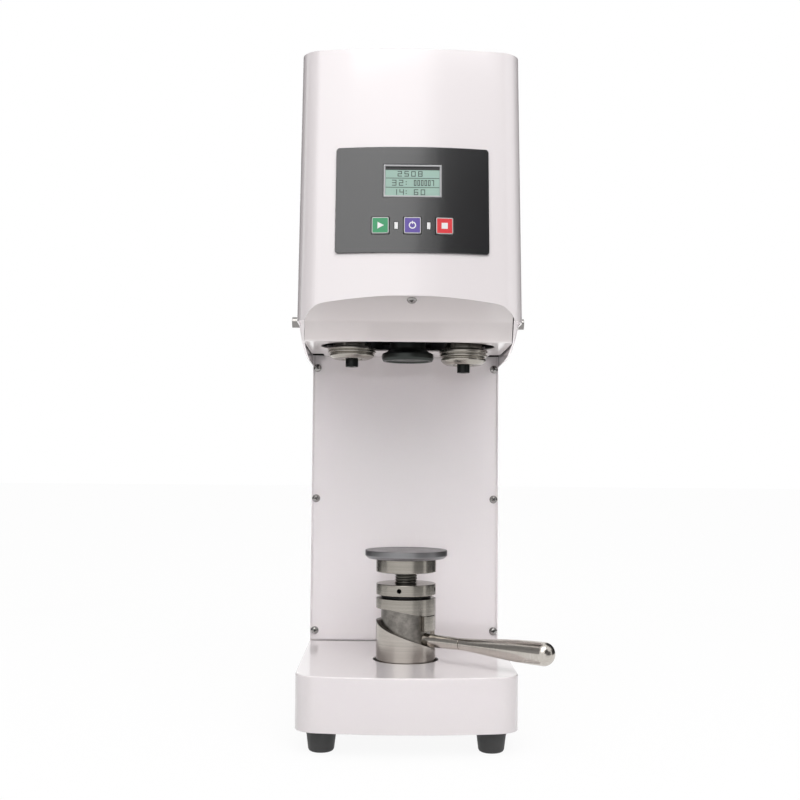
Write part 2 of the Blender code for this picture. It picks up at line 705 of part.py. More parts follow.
def build_back():
    """Back cover with its louvres, the power inlet and its rocker."""
    half = head_inner - GAP
    inlet_z = base_top + INLET_RISE
    hole = rectangle(INLET_X - INLET_WIDTH / 2, inlet_z - INLET_HEIGHT / 2,
                     INLET_X + INLET_WIDTH / 2, inlet_z + INLET_HEIGHT / 2)
    first = under_z - LOUVRE_RISE
    end = LOUVRE_WIDTH / 2
    slots = [rounded_rectangle(-end, z, end, z + LOUVRE_HEIGHT, LOUVRE_HEIGHT * 0.4, 1)
             for z in (first + LOUVRE_PITCH * i for i in range(LOUVRE_COUNT))]
    outline = rectangle(-half, plate_floor, half, head_top - SHEET - GAP)
    plate("back_cover", [outline, hole] + slots, -back_y, -back_y + SHEET, PAINT, MACHINE, ALONG_Y)

    module = empty("inlet_frame", (INLET_X, back_y + GAP, inlet_z), MACHINE, (math.pi / 2, 0, math.pi))
    body_half = INLET_WIDTH / 2 - GAP
    body_high = INLET_HEIGHT / 2 - GAP
    inlet = box("power_inlet", (-body_half, -body_high, -INLET_DEPTH),
                (body_half, body_high, INLET_FLANGE / 2), BLACK_PLASTIC, module)
    rim = plate("inlet_rim", [rounded_rectangle(-body_half - INLET_LIP, -body_high - INLET_LIP,
                                                body_half + INLET_LIP, body_high + INLET_LIP,
                                                INLET_CORNER)],
                0.0, INLET_FLANGE, None, module)
    boolean(inlet, rim, "UNION")
    corner = SOCKET_HEIGHT * 0.25
    low = -SOCKET_DROP - SOCKET_HEIGHT / 2
    high = low + SOCKET_HEIGHT
    side = SOCKET_WIDTH / 2
    socket = plate("inlet_socket", [[(-side, low), (side, low), (side, high - corner), (side - corner, high),
                                     (corner - side, high), (-side, high - corner)]],
                   -SOCKET_DEPTH + INLET_FLANGE, INLET_FLANGE + 0.001, None, module)
    boolean(inlet, socket)
    pins = plate("inlet_pins", [rectangle(x - PIN_WIDTH / 2, y - PIN_HEIGHT / 2, x + PIN_WIDTH / 2,
                                          y + PIN_HEIGHT / 2)
                                for x, y in ((-PIN_PITCH, -SOCKET_DROP - PIN_STAGGER),
                                             (0, -SOCKET_DROP + PIN_STAGGER),
                                             (PIN_PITCH, -SOCKET_DROP - PIN_STAGGER))],
                 -SOCKET_DEPTH, -PIN_TIP, None, module)
    boolean(inlet, pins, "UNION")
    well_half = ROCKER_HALF_HEIGHT + ROCKER_WELL_MARGIN
    well = plate("rocker_well", [rectangle(-ROCKER_WIDTH / 2 - GAP, ROCKER_RISE - well_half,
                                           ROCKER_WIDTH / 2 + GAP, ROCKER_RISE + well_half)],
                 -ROCKER_WELL_DEPTH, INLET_FLANGE + 0.001, None, module)
    boolean(inlet, well)
    pivot = empty("rocker_axis", (0, ROCKER_RISE, INLET_FLANGE - ROCKER_PIVOT_DEPTH), module,
                  (-ROCKER_TILT, 0, 0))
    high = ROCKER_HALF_HEIGHT
    back = high * ROCKER_TAPER
    face = [(-ROCKER_BACK, -back), (ROCKER_TIP, -high), (ROCKER_WAIST, 0), (ROCKER_TIP, high),
            (-ROCKER_BACK, back)]
    section = [(-depth, rise) for depth, rise in face]
    plate("power_switch", [section], -ROCKER_WIDTH / 2, ROCKER_WIDTH / 2, BLACK_PLASTIC, pivot,
          Matrix(((0, 0, 1, 0), (0, 1, 0, 0), (-1, 0, 0, 0), (0, 0, 0, 1))))


def mouth_height(y):
    """Height of the front facet's lower face at a depth."""
    return under_z + MOUTH_RISE + mouth_slope * (y + HEAD_REACH)


def side_curve(count=8):
    """Lower edge of the head's side walls behind the front fold."""
    low = under_z - SIDE_DROP
    start = Vector((FRONT_FOLD_Y, under_z + FOLD_RISE))
    bulge = Vector((SIDE_CURVE_BULGE_Y, under_z + SIDE_DROP * SIDE_CURVE_BULGE))
    controls = (start, bulge, Vector((SIDE_BOLT_Y, low)),
                Vector((SIDE_CURVE_END, low)))
    points = []
    for i in range(count + 1):
        t = i / count
        weights = ((1 - t) ** 3, 3 * t * (1 - t) ** 2, 3 * t * t * (1 - t), t ** 3)
        point = sum((w * c for w, c in zip(weights, controls)), Vector((0, 0)))
        points.append((point.x, point.y))
    return points


def build_head_shell():
    """Bowed head shell that leans back, open below and behind, and its lid."""
    low = under_z - SIDE_DROP - TRIM
    shell = wall("head_shell", front_outline(HEAD_HALF_WIDTH, HEAD_REACH, 0.0, back_y), low, head_top,
                 PAINT, MACHINE)
    lean_back(shell.data, back_y)
    solidify(shell, SHEET, -1.0)
    ahead = -HEAD_REACH - 2 * TRIM
    profile = [(ahead, mouth_height(ahead))] + side_curve() + [
        (back_y + TRIM, under_z - SIDE_DROP), (back_y + TRIM, low - TRIM), (ahead, low - TRIM)]
    mouth = plate("head_mouth", [profile], -HEAD_HALF_WIDTH - TRIM, HEAD_HALF_WIDTH + TRIM, None, MACHINE,
                  ALONG_X)
    arch = [(HEAD_HALF_WIDTH - inset, under_z + rise) for inset, rise in MOUTH_ARCH]
    foot = low - 2 * TRIM
    outline = [(arch[0][0], foot)] + arch + [(-x, z) for x, z in reversed(arch)] + [(-arch[0][0], foot)]
    boolean(mouth, plate("mouth_arch", [outline], -back_y - 2 * TRIM, HEAD_REACH + 3 * TRIM, None, MACHINE,
                         ALONG_Y), "INTERSECT")
    boolean(shell, mouth)
    bolt_z = (head_plate_bottom + head_plate_top) / 2
    through = HEAD_HALF_WIDTH + TRIM
    bolt_hole = turned("side_bolt_holes", [(0, through), (SIDE_BOLT_RADIUS + GAP, through),
                                           (SIDE_BOLT_RADIUS + GAP, -through), (0, -through)], None, MACHINE,
                       steps=SMALL_STEPS, location=(0, SIDE_BOLT_Y, bolt_z), rotation=(0, math.pi / 2, 0))
    boolean(shell, bolt_hole)
    window_x = BOARD_WIDTH / 2 - PANEL_WINDOW_MARGIN
    window_y = BOARD_HEIGHT / 2 - PANEL_WINDOW_MARGIN
    opening = rounded_rectangle(-window_x, -window_y, window_x, window_y, PANEL_CORNER)
    window = plate("panel_window", [opening], -TRIM, TRIM, None, PANEL)
    boolean(shell, window)

    lid_back = frame_back
    path = front_outline(HEAD_HALF_WIDTH, HEAD_REACH, SHEET + GAP, lid_back)
    shape = bmesh.new()
    top = shape.faces.new([shape.verts.new((x, y, head_top)) for x, y in path])
    edges = list(top.edges)
    lowered = bmesh.ops.extrude_edge_only(shape, edges=edges)["geom"]
    bmesh.ops.translate(shape, vec=(0, 0, -LID_SKIRT),
                        verts=[item for item in lowered if isinstance(item, bmesh.types.BMVert)])
    bmesh.ops.recalc_face_normals(shape, faces=shape.faces)
    if top.normal.z < 0:
        bmesh.ops.reverse_faces(shape, faces=shape.faces)
    mesh = bpy.data.meshes.new("top_cover")
    shape.to_mesh(mesh)
    shape.free()
    lean_back(mesh, lid_back)
    lid = add_object("top_cover", mesh, PAINT, MACHINE)
    solidify(lid, SHEET, -1.0)
    return bolt_z


def build_under_cover():
    """Folded under cover with the oval opening for the chuck and the rollers, and its screw."""
    rear = COLUMN_FACE - GAP
    half = head_inner - UNDER_COVER_SIDE_GAP
    start = -HEAD_REACH - TRIM
    path = [(start, mouth_height(start)), (FRONT_FOLD_Y, under_z + FOLD_RISE), (REAR_FOLD_Y, under_z),
            (rear, under_z)]
    shape = bmesh.new()
    verts = [shape.verts.new((-half, y, z)) for y, z in path]
    edges = [shape.edges.new(pair) for pair in zip(verts, verts[1:])]
    across = bmesh.ops.extrude_edge_only(shape, edges=edges)["geom"]
    bmesh.ops.translate(shape, vec=(2 * half, 0, 0),
                        verts=[item for item in across if isinstance(item, bmesh.types.BMVert)])
    bmesh.ops.recalc_face_normals(shape, faces=shape.faces)
    shape.faces.ensure_lookup_table()
    if shape.faces[0].normal.z > 0:
        bmesh.ops.reverse_faces(shape, faces=shape.faces)
    mesh = bpy.data.meshes.new("under_cover")
    shape.to_mesh(mesh)
    shape.free()
    cover = add_object("under_cover", mesh, PAINT_INNER, MACHINE)
    solidify(cover, SHEET, -1.0)
    inside = plate("head_inside", [front_outline(HEAD_HALF_WIDTH, HEAD_REACH, SHEET + GAP, rear + TRIM)],
                   under_z - TRIM, under_z + MOUTH_RISE + TRIM, None, MACHINE)
    lean_back(inside.data, rear + TRIM)
    boolean(cover, inside, "INTERSECT")
    opening = plate("roller_opening", [stadium(opening_half, OPENING_HALF_DEPTH)],
                    under_z - TRIM, under_z + TRIM, None, MACHINE)
    boolean(cover, opening)
    notch_x = half - REAR_NOTCH_WIDTH
    notch_y = rear - REAR_NOTCH_DEPTH
    notches = plate("rear_notches", [rectangle(notch_x, notch_y, half + TRIM, rear + TRIM),
                                     rectangle(-half - TRIM, notch_y, -notch_x, rear + TRIM)],
                    under_z - TRIM, under_z + TRIM, None, MACHINE)
    boolean(cover, notches)

    screw_y = -HEAD_REACH + UNDER_SCREW_INSET
    tilt = math.pi + math.atan(mouth_slope)
    normal = Vector((0, mouth_slope, -1)).normalized()
    place = Vector((PANEL_X, screw_y, mouth_height(screw_y)))
    radius = UNDER_SCREW_RADIUS
    reach = UNDER_SCREW_LENGTH
    hole = turned("under_screw_hole",
                  [(0, reach), (radius + GAP, reach), (radius + GAP, -reach), (0, -reach)],
                  None, MACHINE, steps=8, location=place, rotation=(tilt, 0, 0))
    boolean(cover, hole)
    wide, high = UNDER_SCREW_HEAD_RADIUS, UNDER_SCREW_HEAD
    turned("under_cover_screw", [(0, high), (wide * 0.75, high * 0.75), (wide, 0), (radius, 0),
                                 (radius, -reach), (0, -reach)],
           STAINLESS, MACHINE, steps=SMALL_STEPS, location=place + normal * GAP, rotation=(tilt, 0, 0))


def build_side_bolts(bolt_z):
    """Bolts that hold the head shell to the head plate."""
    neck = GAP + SIDE_BOLT_NECK
    tip = neck + SIDE_BOLT_HEAD
    wide = SIDE_BOLT_HEAD_RADIUS
    profile = [(0, tip), (wide - EDGE_BREAK, tip), (wide, tip - EDGE_BREAK), (wide, neck),
               (SIDE_BOLT_NECK_RADIUS, neck),
               (SIDE_BOLT_NECK_RADIUS, GAP), (SIDE_BOLT_RADIUS, GAP), (SIDE_BOLT_RADIUS, -SIDE_BOLT_DEPTH),
               (0, -SIDE_BOLT_DEPTH)]
    for name, side in (("side_bolt_left", -1), ("side_bolt_right", 1)):
        turned(name, profile, CHROME, MACHINE, steps=SMALL_STEPS + 4,
               location=(side * HEAD_HALF_WIDTH, SIDE_BOLT_Y, bolt_z), rotation=(0, side * math.pi / 2, 0))


def build_panel():
    """Curved control panel, display, three keys, two indicators and the board behind them."""
    bow = bow_radius(HEAD_HALF_WIDTH)

    def depth(x):
        return -(bow - math.sqrt(bow ** 2 - (x + PANEL_X) ** 2)) * math.cos(HEAD_LEAN)

    half_w, half_h = PANEL_WIDTH / 2, PANEL_HEIGHT / 2
    count = 10
    xs = [-half_w - 0.001 + (PANEL_WIDTH + 0.002) * i / count for i in range(count + 1)]
    shape = bmesh.new()
    verts = [shape.verts.new((x, -half_h - 0.001, depth(x) + GAP)) for x in xs]
    edges = [shape.edges.new(pair) for pair in zip(verts, verts[1:])]
    raised = bmesh.ops.extrude_edge_only(shape, edges=edges)["geom"]
    bmesh.ops.translate(shape, vec=(0, PANEL_HEIGHT + 0.002, 0),
                        verts=[item for item in raised if isinstance(item, bmesh.types.BMVert)])
    bmesh.ops.recalc_face_normals(shape, faces=shape.faces)
    shape.faces.ensure_lookup_table()
    if shape.faces[0].normal.z < 0:
        bmesh.ops.reverse_faces(shape, faces=shape.faces)
    mesh = bpy.data.meshes.new("control_panel")
    shape.to_mesh(mesh)
    shape.free()
    panel = add_object("control_panel", mesh, PANEL_BLACK, PANEL)
    solidify(panel, PANEL_THICKNESS, 1.0)
    edge = plate("panel_outline", [rounded_rectangle(-half_w, -half_h, half_w, half_h, PANEL_CORNER)],
                 -0.02, 0.01, None, PANEL)
    boolean(panel, edge, "INTERSECT")

    key_half = KEY_SIZE / 2
    key_hole = key_half + KEY_CLEARANCE
    screen_w, screen_h = DISPLAY_WIDTH / 2, DISPLAY_HEIGHT / 2
    bar_w, bar_h = INDICATOR_WIDTH / 2, INDICATOR_HEIGHT / 2
    holes = [rectangle(-screen_w - GAP, DISPLAY_RISE - screen_h - GAP,
                       screen_w + GAP, DISPLAY_RISE + screen_h + GAP)]
    for x in (-KEY_PITCH, 0, KEY_PITCH):
        holes.append(rounded_rectangle(x - key_hole, -KEY_DROP - key_hole,
                                       x + key_hole, -KEY_DROP + key_hole, KEY_CORNER, 1))
    for x in (-INDICATOR_X, INDICATOR_X):
        holes.append(rectangle(x - bar_w - GAP, -KEY_DROP - bar_h - GAP,
                               x + bar_w + GAP, -KEY_DROP + bar_h + GAP))
    boolean(panel, plate("panel_holes", holes, -0.02, 0.01, None, PANEL))

    face = GAP + PANEL_THICKNESS
    key_back = depth(PANEL_WIDTH / 4) + face + KEY_PROUD - KEY_DEPTH
    board_face = key_back - KEY_TRAVEL - GAP - KEY_SWITCH_RISE - GAP
    box("display", (-screen_w, DISPLAY_RISE - screen_h, board_face + GAP),
        (screen_w, DISPLAY_RISE + screen_h, face - DISPLAY_RECESS), LCD_GREEN, PANEL)
    for name, x, mat in (("key_start", -KEY_PITCH, KEY_GREEN), ("key_mode", 0, KEY_PURPLE),
                         ("key_stop", KEY_PITCH, KEY_RED)):
        yaw = math.asin((x + PANEL_X) / bow)
        axis = empty(name + "_axis", (x, -KEY_DROP, depth(x)), PANEL, (0, yaw, 0))
        outline = rounded_rectangle(-key_half, -key_half, key_half, key_half, KEY_CORNER, 1)
        plate(name, [outline], face + KEY_PROUD - KEY_DEPTH, face + KEY_PROUD, mat, axis)
    for name, x in (("indicator_left", -INDICATOR_X), ("indicator_right", INDICATOR_X)):
        box(name, (x - bar_w, -KEY_DROP - bar_h, board_face + GAP),
            (x + bar_w, -KEY_DROP + bar_h, depth(x) + face + INDICATOR_PROUD), LENS_WHITE, PANEL)
    board = box("control_board", (-BOARD_WIDTH / 2, -BOARD_HEIGHT / 2, board_face - BOARD_THICKNESS),
                (BOARD_WIDTH / 2, BOARD_HEIGHT / 2, board_face), BOARD_GREEN, PANEL)
    pad = KEY_SWITCH_HALF
    switches = plate("board_switches", [rectangle(x - pad, -KEY_DROP - pad, x + pad, -KEY_DROP + pad)
                                        for x in (-KEY_PITCH, 0, KEY_PITCH)],
                     board_face - BOARD_THICKNESS / 2, board_face + KEY_SWITCH_RISE, None, PANEL)
    boolean(board, switches, "UNION")


def build_head_plate():
    """Thick plate that carries the spindle, the arms and the crank motor."""
    wide = head_inner - GAP
    narrow = column_half - FLANGE_WIDTH - COVER_GAP
    front = REAR_FOLD_Y - HEAD_PLATE_OVERHANG
    step = COLUMN_FACE - HEAD_PLATE_MARGIN
    rear = frame_back - COLUMN_SHEET - HEAD_PLATE_MARGIN
    outline = [(-wide, front), (wide, front), (wide, step), (narrow, step), (narrow, rear), (-narrow, rear),
               (-narrow, step), (-wide, step)]
    holes = [circle(0, 0, HOUSING_RADIUS + GAP, STEPS), circle(0, crank_y, CRANK_RADIUS + 2 * GAP),
             circle(-ARM_PIVOT_X, ARM_PIVOT_Y, ARM_PIVOT_RADIUS + GAP, SMALL_STEPS + 4),
             circle(ARM_PIVOT_X, ARM_PIVOT_Y, ARM_PIVOT_RADIUS + GAP, SMALL_STEPS + 4),
             circle(0, motor_y, SHAFT_HOLE_RADIUS)]
    head_plate = plate("head_plate", [outline] + holes, head_plate_bottom, head_plate_top, STEEL_DARK,
                       MACHINE)
    bolt_z = (head_plate_bottom + head_plate_top) / 2
    depth = SIDE_BOLT_DEPTH + 0.001
    for side in (-1, 1):
        drill = turned(f"head_plate_bolt_hole_{side}", [(0, 0.001), (SIDE_BOLT_RADIUS + GAP, 0.001),
                                                        (SIDE_BOLT_RADIUS + GAP, -depth), (0, -depth)],
                       None, MACHINE, steps=SMALL_STEPS,
                       location=(side * HEAD_HALF_WIDTH, SIDE_BOLT_Y, bolt_z),
                       rotation=(0, side * math.pi / 2, 0))
        boolean(head_plate, drill)


def build_spindle():
    """Bearing housing, spindle, chuck and pulley on the main axis."""
    seat = head_plate_top + GAP
    top = seat + HOUSING_HEIGHT
    bore = SPINDLE_RADIUS + GAP
    pocket = top - BEARING_WIDTH - GAP
    turned("spindle_housing",
           [(HOUSING_RADIUS, top), (HOUSING_RADIUS, seat + HOUSING_FLANGE),
            (HOUSING_FLANGE_RADIUS, seat + HOUSING_FLANGE), (HOUSING_FLANGE_RADIUS, seat),
            (HOUSING_RADIUS, seat), (HOUSING_RADIUS, head_plate_bottom), (bore, head_plate_bottom),
            (bore, pocket),
            (BEARING_RADIUS + GAP, pocket), (BEARING_RADIUS + GAP, top)],
           CAST_GREY, MACHINE, steps=HIDDEN_STEPS + 4, ring=True)
    turned("spindle_bearing",
           [(BEARING_RADIUS, top), (BEARING_RADIUS, pocket + GAP), (bore, pocket + GAP), (bore, top)],
           STAINLESS, MACHINE, steps=HIDDEN_STEPS + 4, ring=True)

    chuck_bottom = under_z - CHUCK_DROP
    chuck_top = head_plate_bottom - CHUCK_CLEARANCE
    spigot_end = chuck_bottom + CHUCK_RIM + CHUCK_FLOOR
    turned("spindle",
           [(0, pulley_top + SHAFT_END), (PULLEY_JOURNAL_RADIUS - EDGE_BREAK, pulley_top + SHAFT_END),
            (PULLEY_JOURNAL_RADIUS, pulley_top + SHAFT_END - EDGE_BREAK),
            (PULLEY_JOURNAL_RADIUS, pulley_bottom - GAP),
            (SPINDLE_RADIUS, pulley_bottom - GAP), (SPINDLE_RADIUS, chuck_top + GAP),
            (CHUCK_SPIGOT_RADIUS, chuck_top + GAP), (CHUCK_SPIGOT_RADIUS, spigot_end), (0, spigot_end)],
           STEEL_BRIGHT, SPINDLE_AXIS, steps=HIDDEN_STEPS + 4)
    rim_top = chuck_bottom + CHUCK_RIM
    stem = CHUCK_STEM_RADIUS
    flare = CHUCK_RADIUS - stem
    face = CHUCK_RADIUS - CHUCK_EDGE
    turned("chuck",
           [(0, spigot_end - GAP), (CHUCK_SPIGOT_RADIUS + GAP, spigot_end - GAP),
            (CHUCK_SPIGOT_RADIUS + GAP, chuck_top), (stem, chuck_top), (stem, rim_top + CHUCK_CONE),
            (stem + flare * 0.25, rim_top + CHUCK_CONE * 0.55), (stem + flare * 0.85, rim_top),
            (CHUCK_RADIUS, rim_top - EDGE_BREAK), (CHUCK_RADIUS, chuck_bottom + CHUCK_EDGE),
            (face, chuck_bottom), (face - CHUCK_FACE_WIDTH, chuck_bottom),
            (face - CHUCK_FACE_WIDTH - CHUCK_EDGE, chuck_bottom + CHUCK_RECESS),
            (0, chuck_bottom + CHUCK_RECESS)],
           CHUCK_BLACK, SPINDLE_AXIS)
    build_pulley("spindle_pulley", SPINDLE_PULLEY_RADIUS, PULLEY_JOURNAL_RADIUS + GAP, SPINDLE_AXIS, STEPS)


def build_pulley(name, radius, bore, axis, steps):
    """Flanged belt pulley with a bore."""
    lip = radius + PULLEY_LIP
    upper = pulley_top - PULLEY_LIP_WIDTH
    lower = pulley_bottom + PULLEY_LIP_WIDTH
    turned(name, [(lip, pulley_top), (lip, upper), (radius, upper), (radius, lower), (lip, lower),
                  (lip, pulley_bottom), (bore, pulley_bottom), (bore, pulley_top)],
           ALUMINIUM, axis, steps=steps, ring=True)


def build_drive():
    """Motor under the column shelf, its pulley and the belt."""
    top = shelf_bottom - GAP
    low = top - MOTOR_LENGTH
    radius = MOTOR_RADIUS
    waist = radius - MOTOR_WAIST
    shaft_top = pulley_top + SHAFT_END
    turned("motor",
           [(0, shaft_top), (MOTOR_SHAFT_RADIUS, shaft_top), (MOTOR_SHAFT_RADIUS, top), (radius, top),
            (radius, top - MOTOR_BELL), (waist, top - MOTOR_BELL), (waist, low + MOTOR_BELL),
            (radius, low + MOTOR_BELL), (radius, low + 2 * MOTOR_WAIST),
            (radius - 2 * MOTOR_WAIST, low), (0, low)],
           CAST_GREY, MOTOR_AXIS, steps=HIDDEN_STEPS)
    build_pulley("motor_pulley", MOTOR_PULLEY_RADIUS, MOTOR_SHAFT_RADIUS + GAP, MOTOR_AXIS, HIDDEN_STEPS)

    def loop(grow):
        big, small = SPINDLE_PULLEY_RADIUS + grow, MOTOR_PULLEY_RADIUS + grow
        lean = math.asin((big - small) / motor_y)
        front = [(big * math.cos(a), big * math.sin(a))
                 for a in (lean - (math.pi + 2 * lean) * i / 18 for i in range(19))]
        rear = [(small * math.cos(a), motor_y + small * math.sin(a))
                for a in (math.pi - lean - (math.pi - 2 * lean) * i / 12 for i in range(13))]
        return front + rear

    plate("drive_belt", [loop(GAP + BELT_THICKNESS), loop(GAP)], pulley_bottom + PULLEY_LIP_WIDTH + GAP,
          pulley_top - PULLEY_LIP_WIDTH - GAP, BELT_RUBBER, MACHINE)


def arm_outline(side):
    """Outline of a roller arm about its pivot: roller end, pivot, and the slotted tail."""
    eye = ARM_EYE
    low, high = CRANK_PIN_Y - ARM_TAIL_HALF, CRANK_PIN_Y + ARM_TAIL_HALF
    corners = [(-ARM_TAIL_REACH, high, ARM_CORNER), (-ARM_TAIL_REACH, low, ARM_CORNER),
               (ARM_PIVOT_X - ARM_NECK, low, ARM_CORNER), (ROLLER_X - eye, ARM_PIVOT_Y - ARM_CORNER, eye),
               (ROLLER_X - eye, -eye, eye - GAP), (ROLLER_X + eye, -eye, eye - GAP),
               (ARM_PIVOT_X + ARM_BOSS, ARM_PIVOT_Y, eye),
               (ARM_PIVOT_X, ARM_PIVOT_Y + 2 * ARM_BOSS, ARM_BOSS),
               (ARM_STEP_X + ARM_CORNER, high, eye)]
    points = rounded(corners, 3)
    return [(side * (x - ARM_PIVOT_X), y - ARM_PIVOT_Y) for x, y in points]


def build_arm(name, side, height, low_tail):
    """One arm with its pivot, its roller and the roller's bolt."""
    axis = empty(name + "_arm_axis", (side * ARM_PIVOT_X, ARM_PIVOT_Y, 0), MACHINE)
    roller_at = (side * (ROLLER_X - ARM_PIVOT_X), -ARM_PIVOT_Y)
    slot_half = CRANK_PIN_RADIUS + CRANK_SLOT_CLEARANCE
    slot_long = CRANK_SLOT_TRAVEL + slot_half
    slot = [(y - side * ARM_PIVOT_X, CRANK_PIN_Y - CRANK_SLOT_CLEARANCE - ARM_PIVOT_Y + x)
            for x, y in stadium(slot_long, slot_half, 5)]
    loops = [arm_outline(side), circle(0, 0, ARM_PIVOT_RADIUS + GAP, SMALL_STEPS + 4),
             circle(*roller_at, ROLLER_BOLT_RADIUS + GAP, SMALL_STEPS), slot]
    arm = plate(name + "_arm", loops, arm_bottom, arm_top, CAST_GREY, axis)
    low, high = (arm_middle - GAP, arm_top + 0.001) if low_tail else (arm_bottom - 0.001, arm_middle + GAP)
    xs = sorted((side * (-ARM_STEP_X - ARM_PIVOT_X), side * (ARM_STEP_X - ARM_PIVOT_X)))
    relief = box(name + "_arm_relief", (xs[0], 0.0, low), (xs[1], ARM_RELIEF, high), None, axis)
    boolean(arm, relief)

    head_low = arm_bottom - GAP - ARM_PIVOT_HEAD
    turned(name + "_arm_pivot",
           [(0, head_plate_top + SHAFT_END), (ARM_PIVOT_RADIUS - EDGE_BREAK, head_plate_top + SHAFT_END),
            (ARM_PIVOT_RADIUS, head_plate_top + SHAFT_END - EDGE_BREAK),
            (ARM_PIVOT_RADIUS, head_low + ARM_PIVOT_HEAD),
            (ARM_PIVOT_HEAD_RADIUS, head_low + ARM_PIVOT_HEAD), (ARM_PIVOT_HEAD_RADIUS, head_low),
            (0, head_low)],
           STEEL_BRIGHT, MACHINE, steps=SMALL_STEPS + 4, location=(side * ARM_PIVOT_X, ARM_PIVOT_Y, 0))

    roller_axis = empty(name + "_roller_axis", (*roller_at, 0), axis)
    build_roller(name, height, roller_axis)


def build_roller(name, height, axis):
    """Seaming roller, with its flanges and grooves, and the bolt that it turns on."""
    bottom = roller_top - height
    wide = ROLLER_RADIUS
    collar = wide - ROLLER_COLLAR
    groove = wide - ROLLER_GROOVE
    shoulder = wide - ROLLER_SHOULDER
    bore = ROLLER_BOLT_RADIUS + GAP
    recess = bottom + ROLLER_RECESS
    mouth = ROLLER_BOLT_HEAD_RADIUS + ROLLER_RECESS_MARGIN
    flank_top = roller_top - 2 * ROLLER_NECK
    turned(name + "_roller",
           [(collar, roller_top), (collar, roller_top - ROLLER_NECK), (wide, flank_top),
            (wide, flank_top - ROLLER_FLANK), (groove, bottom + height * 0.35),
            (groove, bottom + height * 0.28),
            (shoulder, bottom + height * 0.22), (shoulder, bottom + ROLLER_RECESS),
            (collar, bottom), (mouth + EDGE_BREAK, bottom),
            (mouth, recess), (bore, recess), (bore, roller_top)],
           STAINLESS, axis, ring=True)
    head_top_z = recess - GAP
    head_low = bottom - ROLLER_BOLT_HEAD
    head = ROLLER_BOLT_HEAD_RADIUS
    bolt_end = arm_top - BOLT_END_CLEARANCE
    socket_top = head_low + BOLT_SOCKET_DEPTH
    turned(name + "_roller_bolt",
           [(0, bolt_end), (ROLLER_BOLT_RADIUS, bolt_end), (ROLLER_BOLT_RADIUS, head_top_z),
            (head, head_top_z), (head, head_low + EDGE_BREAK), (head - EDGE_BREAK, head_low),
            (BOLT_SOCKET_RADIUS, head_low), (BOLT_SOCKET_RADIUS, socket_top), (0, socket_top + EDGE_BREAK)],
           BOLT_BLACK, axis, steps=SMALL_STEPS + 4)


def build_crank():
    """Crank whose pin runs in both arms' slots, and the gear motor above it."""
    disc_low = head_plate_bottom + GAP
    disc_top = head_plate_top - GAP
    stub_top = head_plate_top + GAP + CRANK_STUB
    crank = turned("arm_crank",
                   [(0, stub_top), (CRANK_STUB_RADIUS, stub_top), (CRANK_STUB_RADIUS, disc_top),
                    (CRANK_RADIUS, disc_top), (CRANK_RADIUS, disc_low), (0, disc_low)],
                   STEEL_BRIGHT, CRANK_AXIS, steps=HIDDEN_STEPS)
    pin_low = arm_bottom + 2 * GAP
    pin = turned("crank_pin", [(0, disc_low + 0.002), (CRANK_PIN_RADIUS, disc_low + 0.002),
                               (CRANK_PIN_RADIUS, pin_low), (0, pin_low)],
                 None, CRANK_AXIS, steps=SMALL_STEPS + 4, location=(0, CRANK_THROW, 0))
    boolean(crank, pin, "UNION")
    seat = head_plate_top + GAP
    high = seat + CRANK_MOTOR_HEIGHT
    can = CRANK_MOTOR_RADIUS - EDGE_BREAK
    turned("crank_motor",
           [(0, high), (can, high), (can, seat + CRANK_GEARBOX), (CRANK_MOTOR_RADIUS, seat + CRANK_GEARBOX),
            (CRANK_MOTOR_RADIUS, seat), (CRANK_STUB_RADIUS + GAP, seat),
            (CRANK_STUB_RADIUS + GAP, stub_top + GAP), (0, stub_top + GAP)],
           STEEL_BRIGHT, MACHINE, steps=HIDDEN_STEPS, location=(0, crank_y, 0))


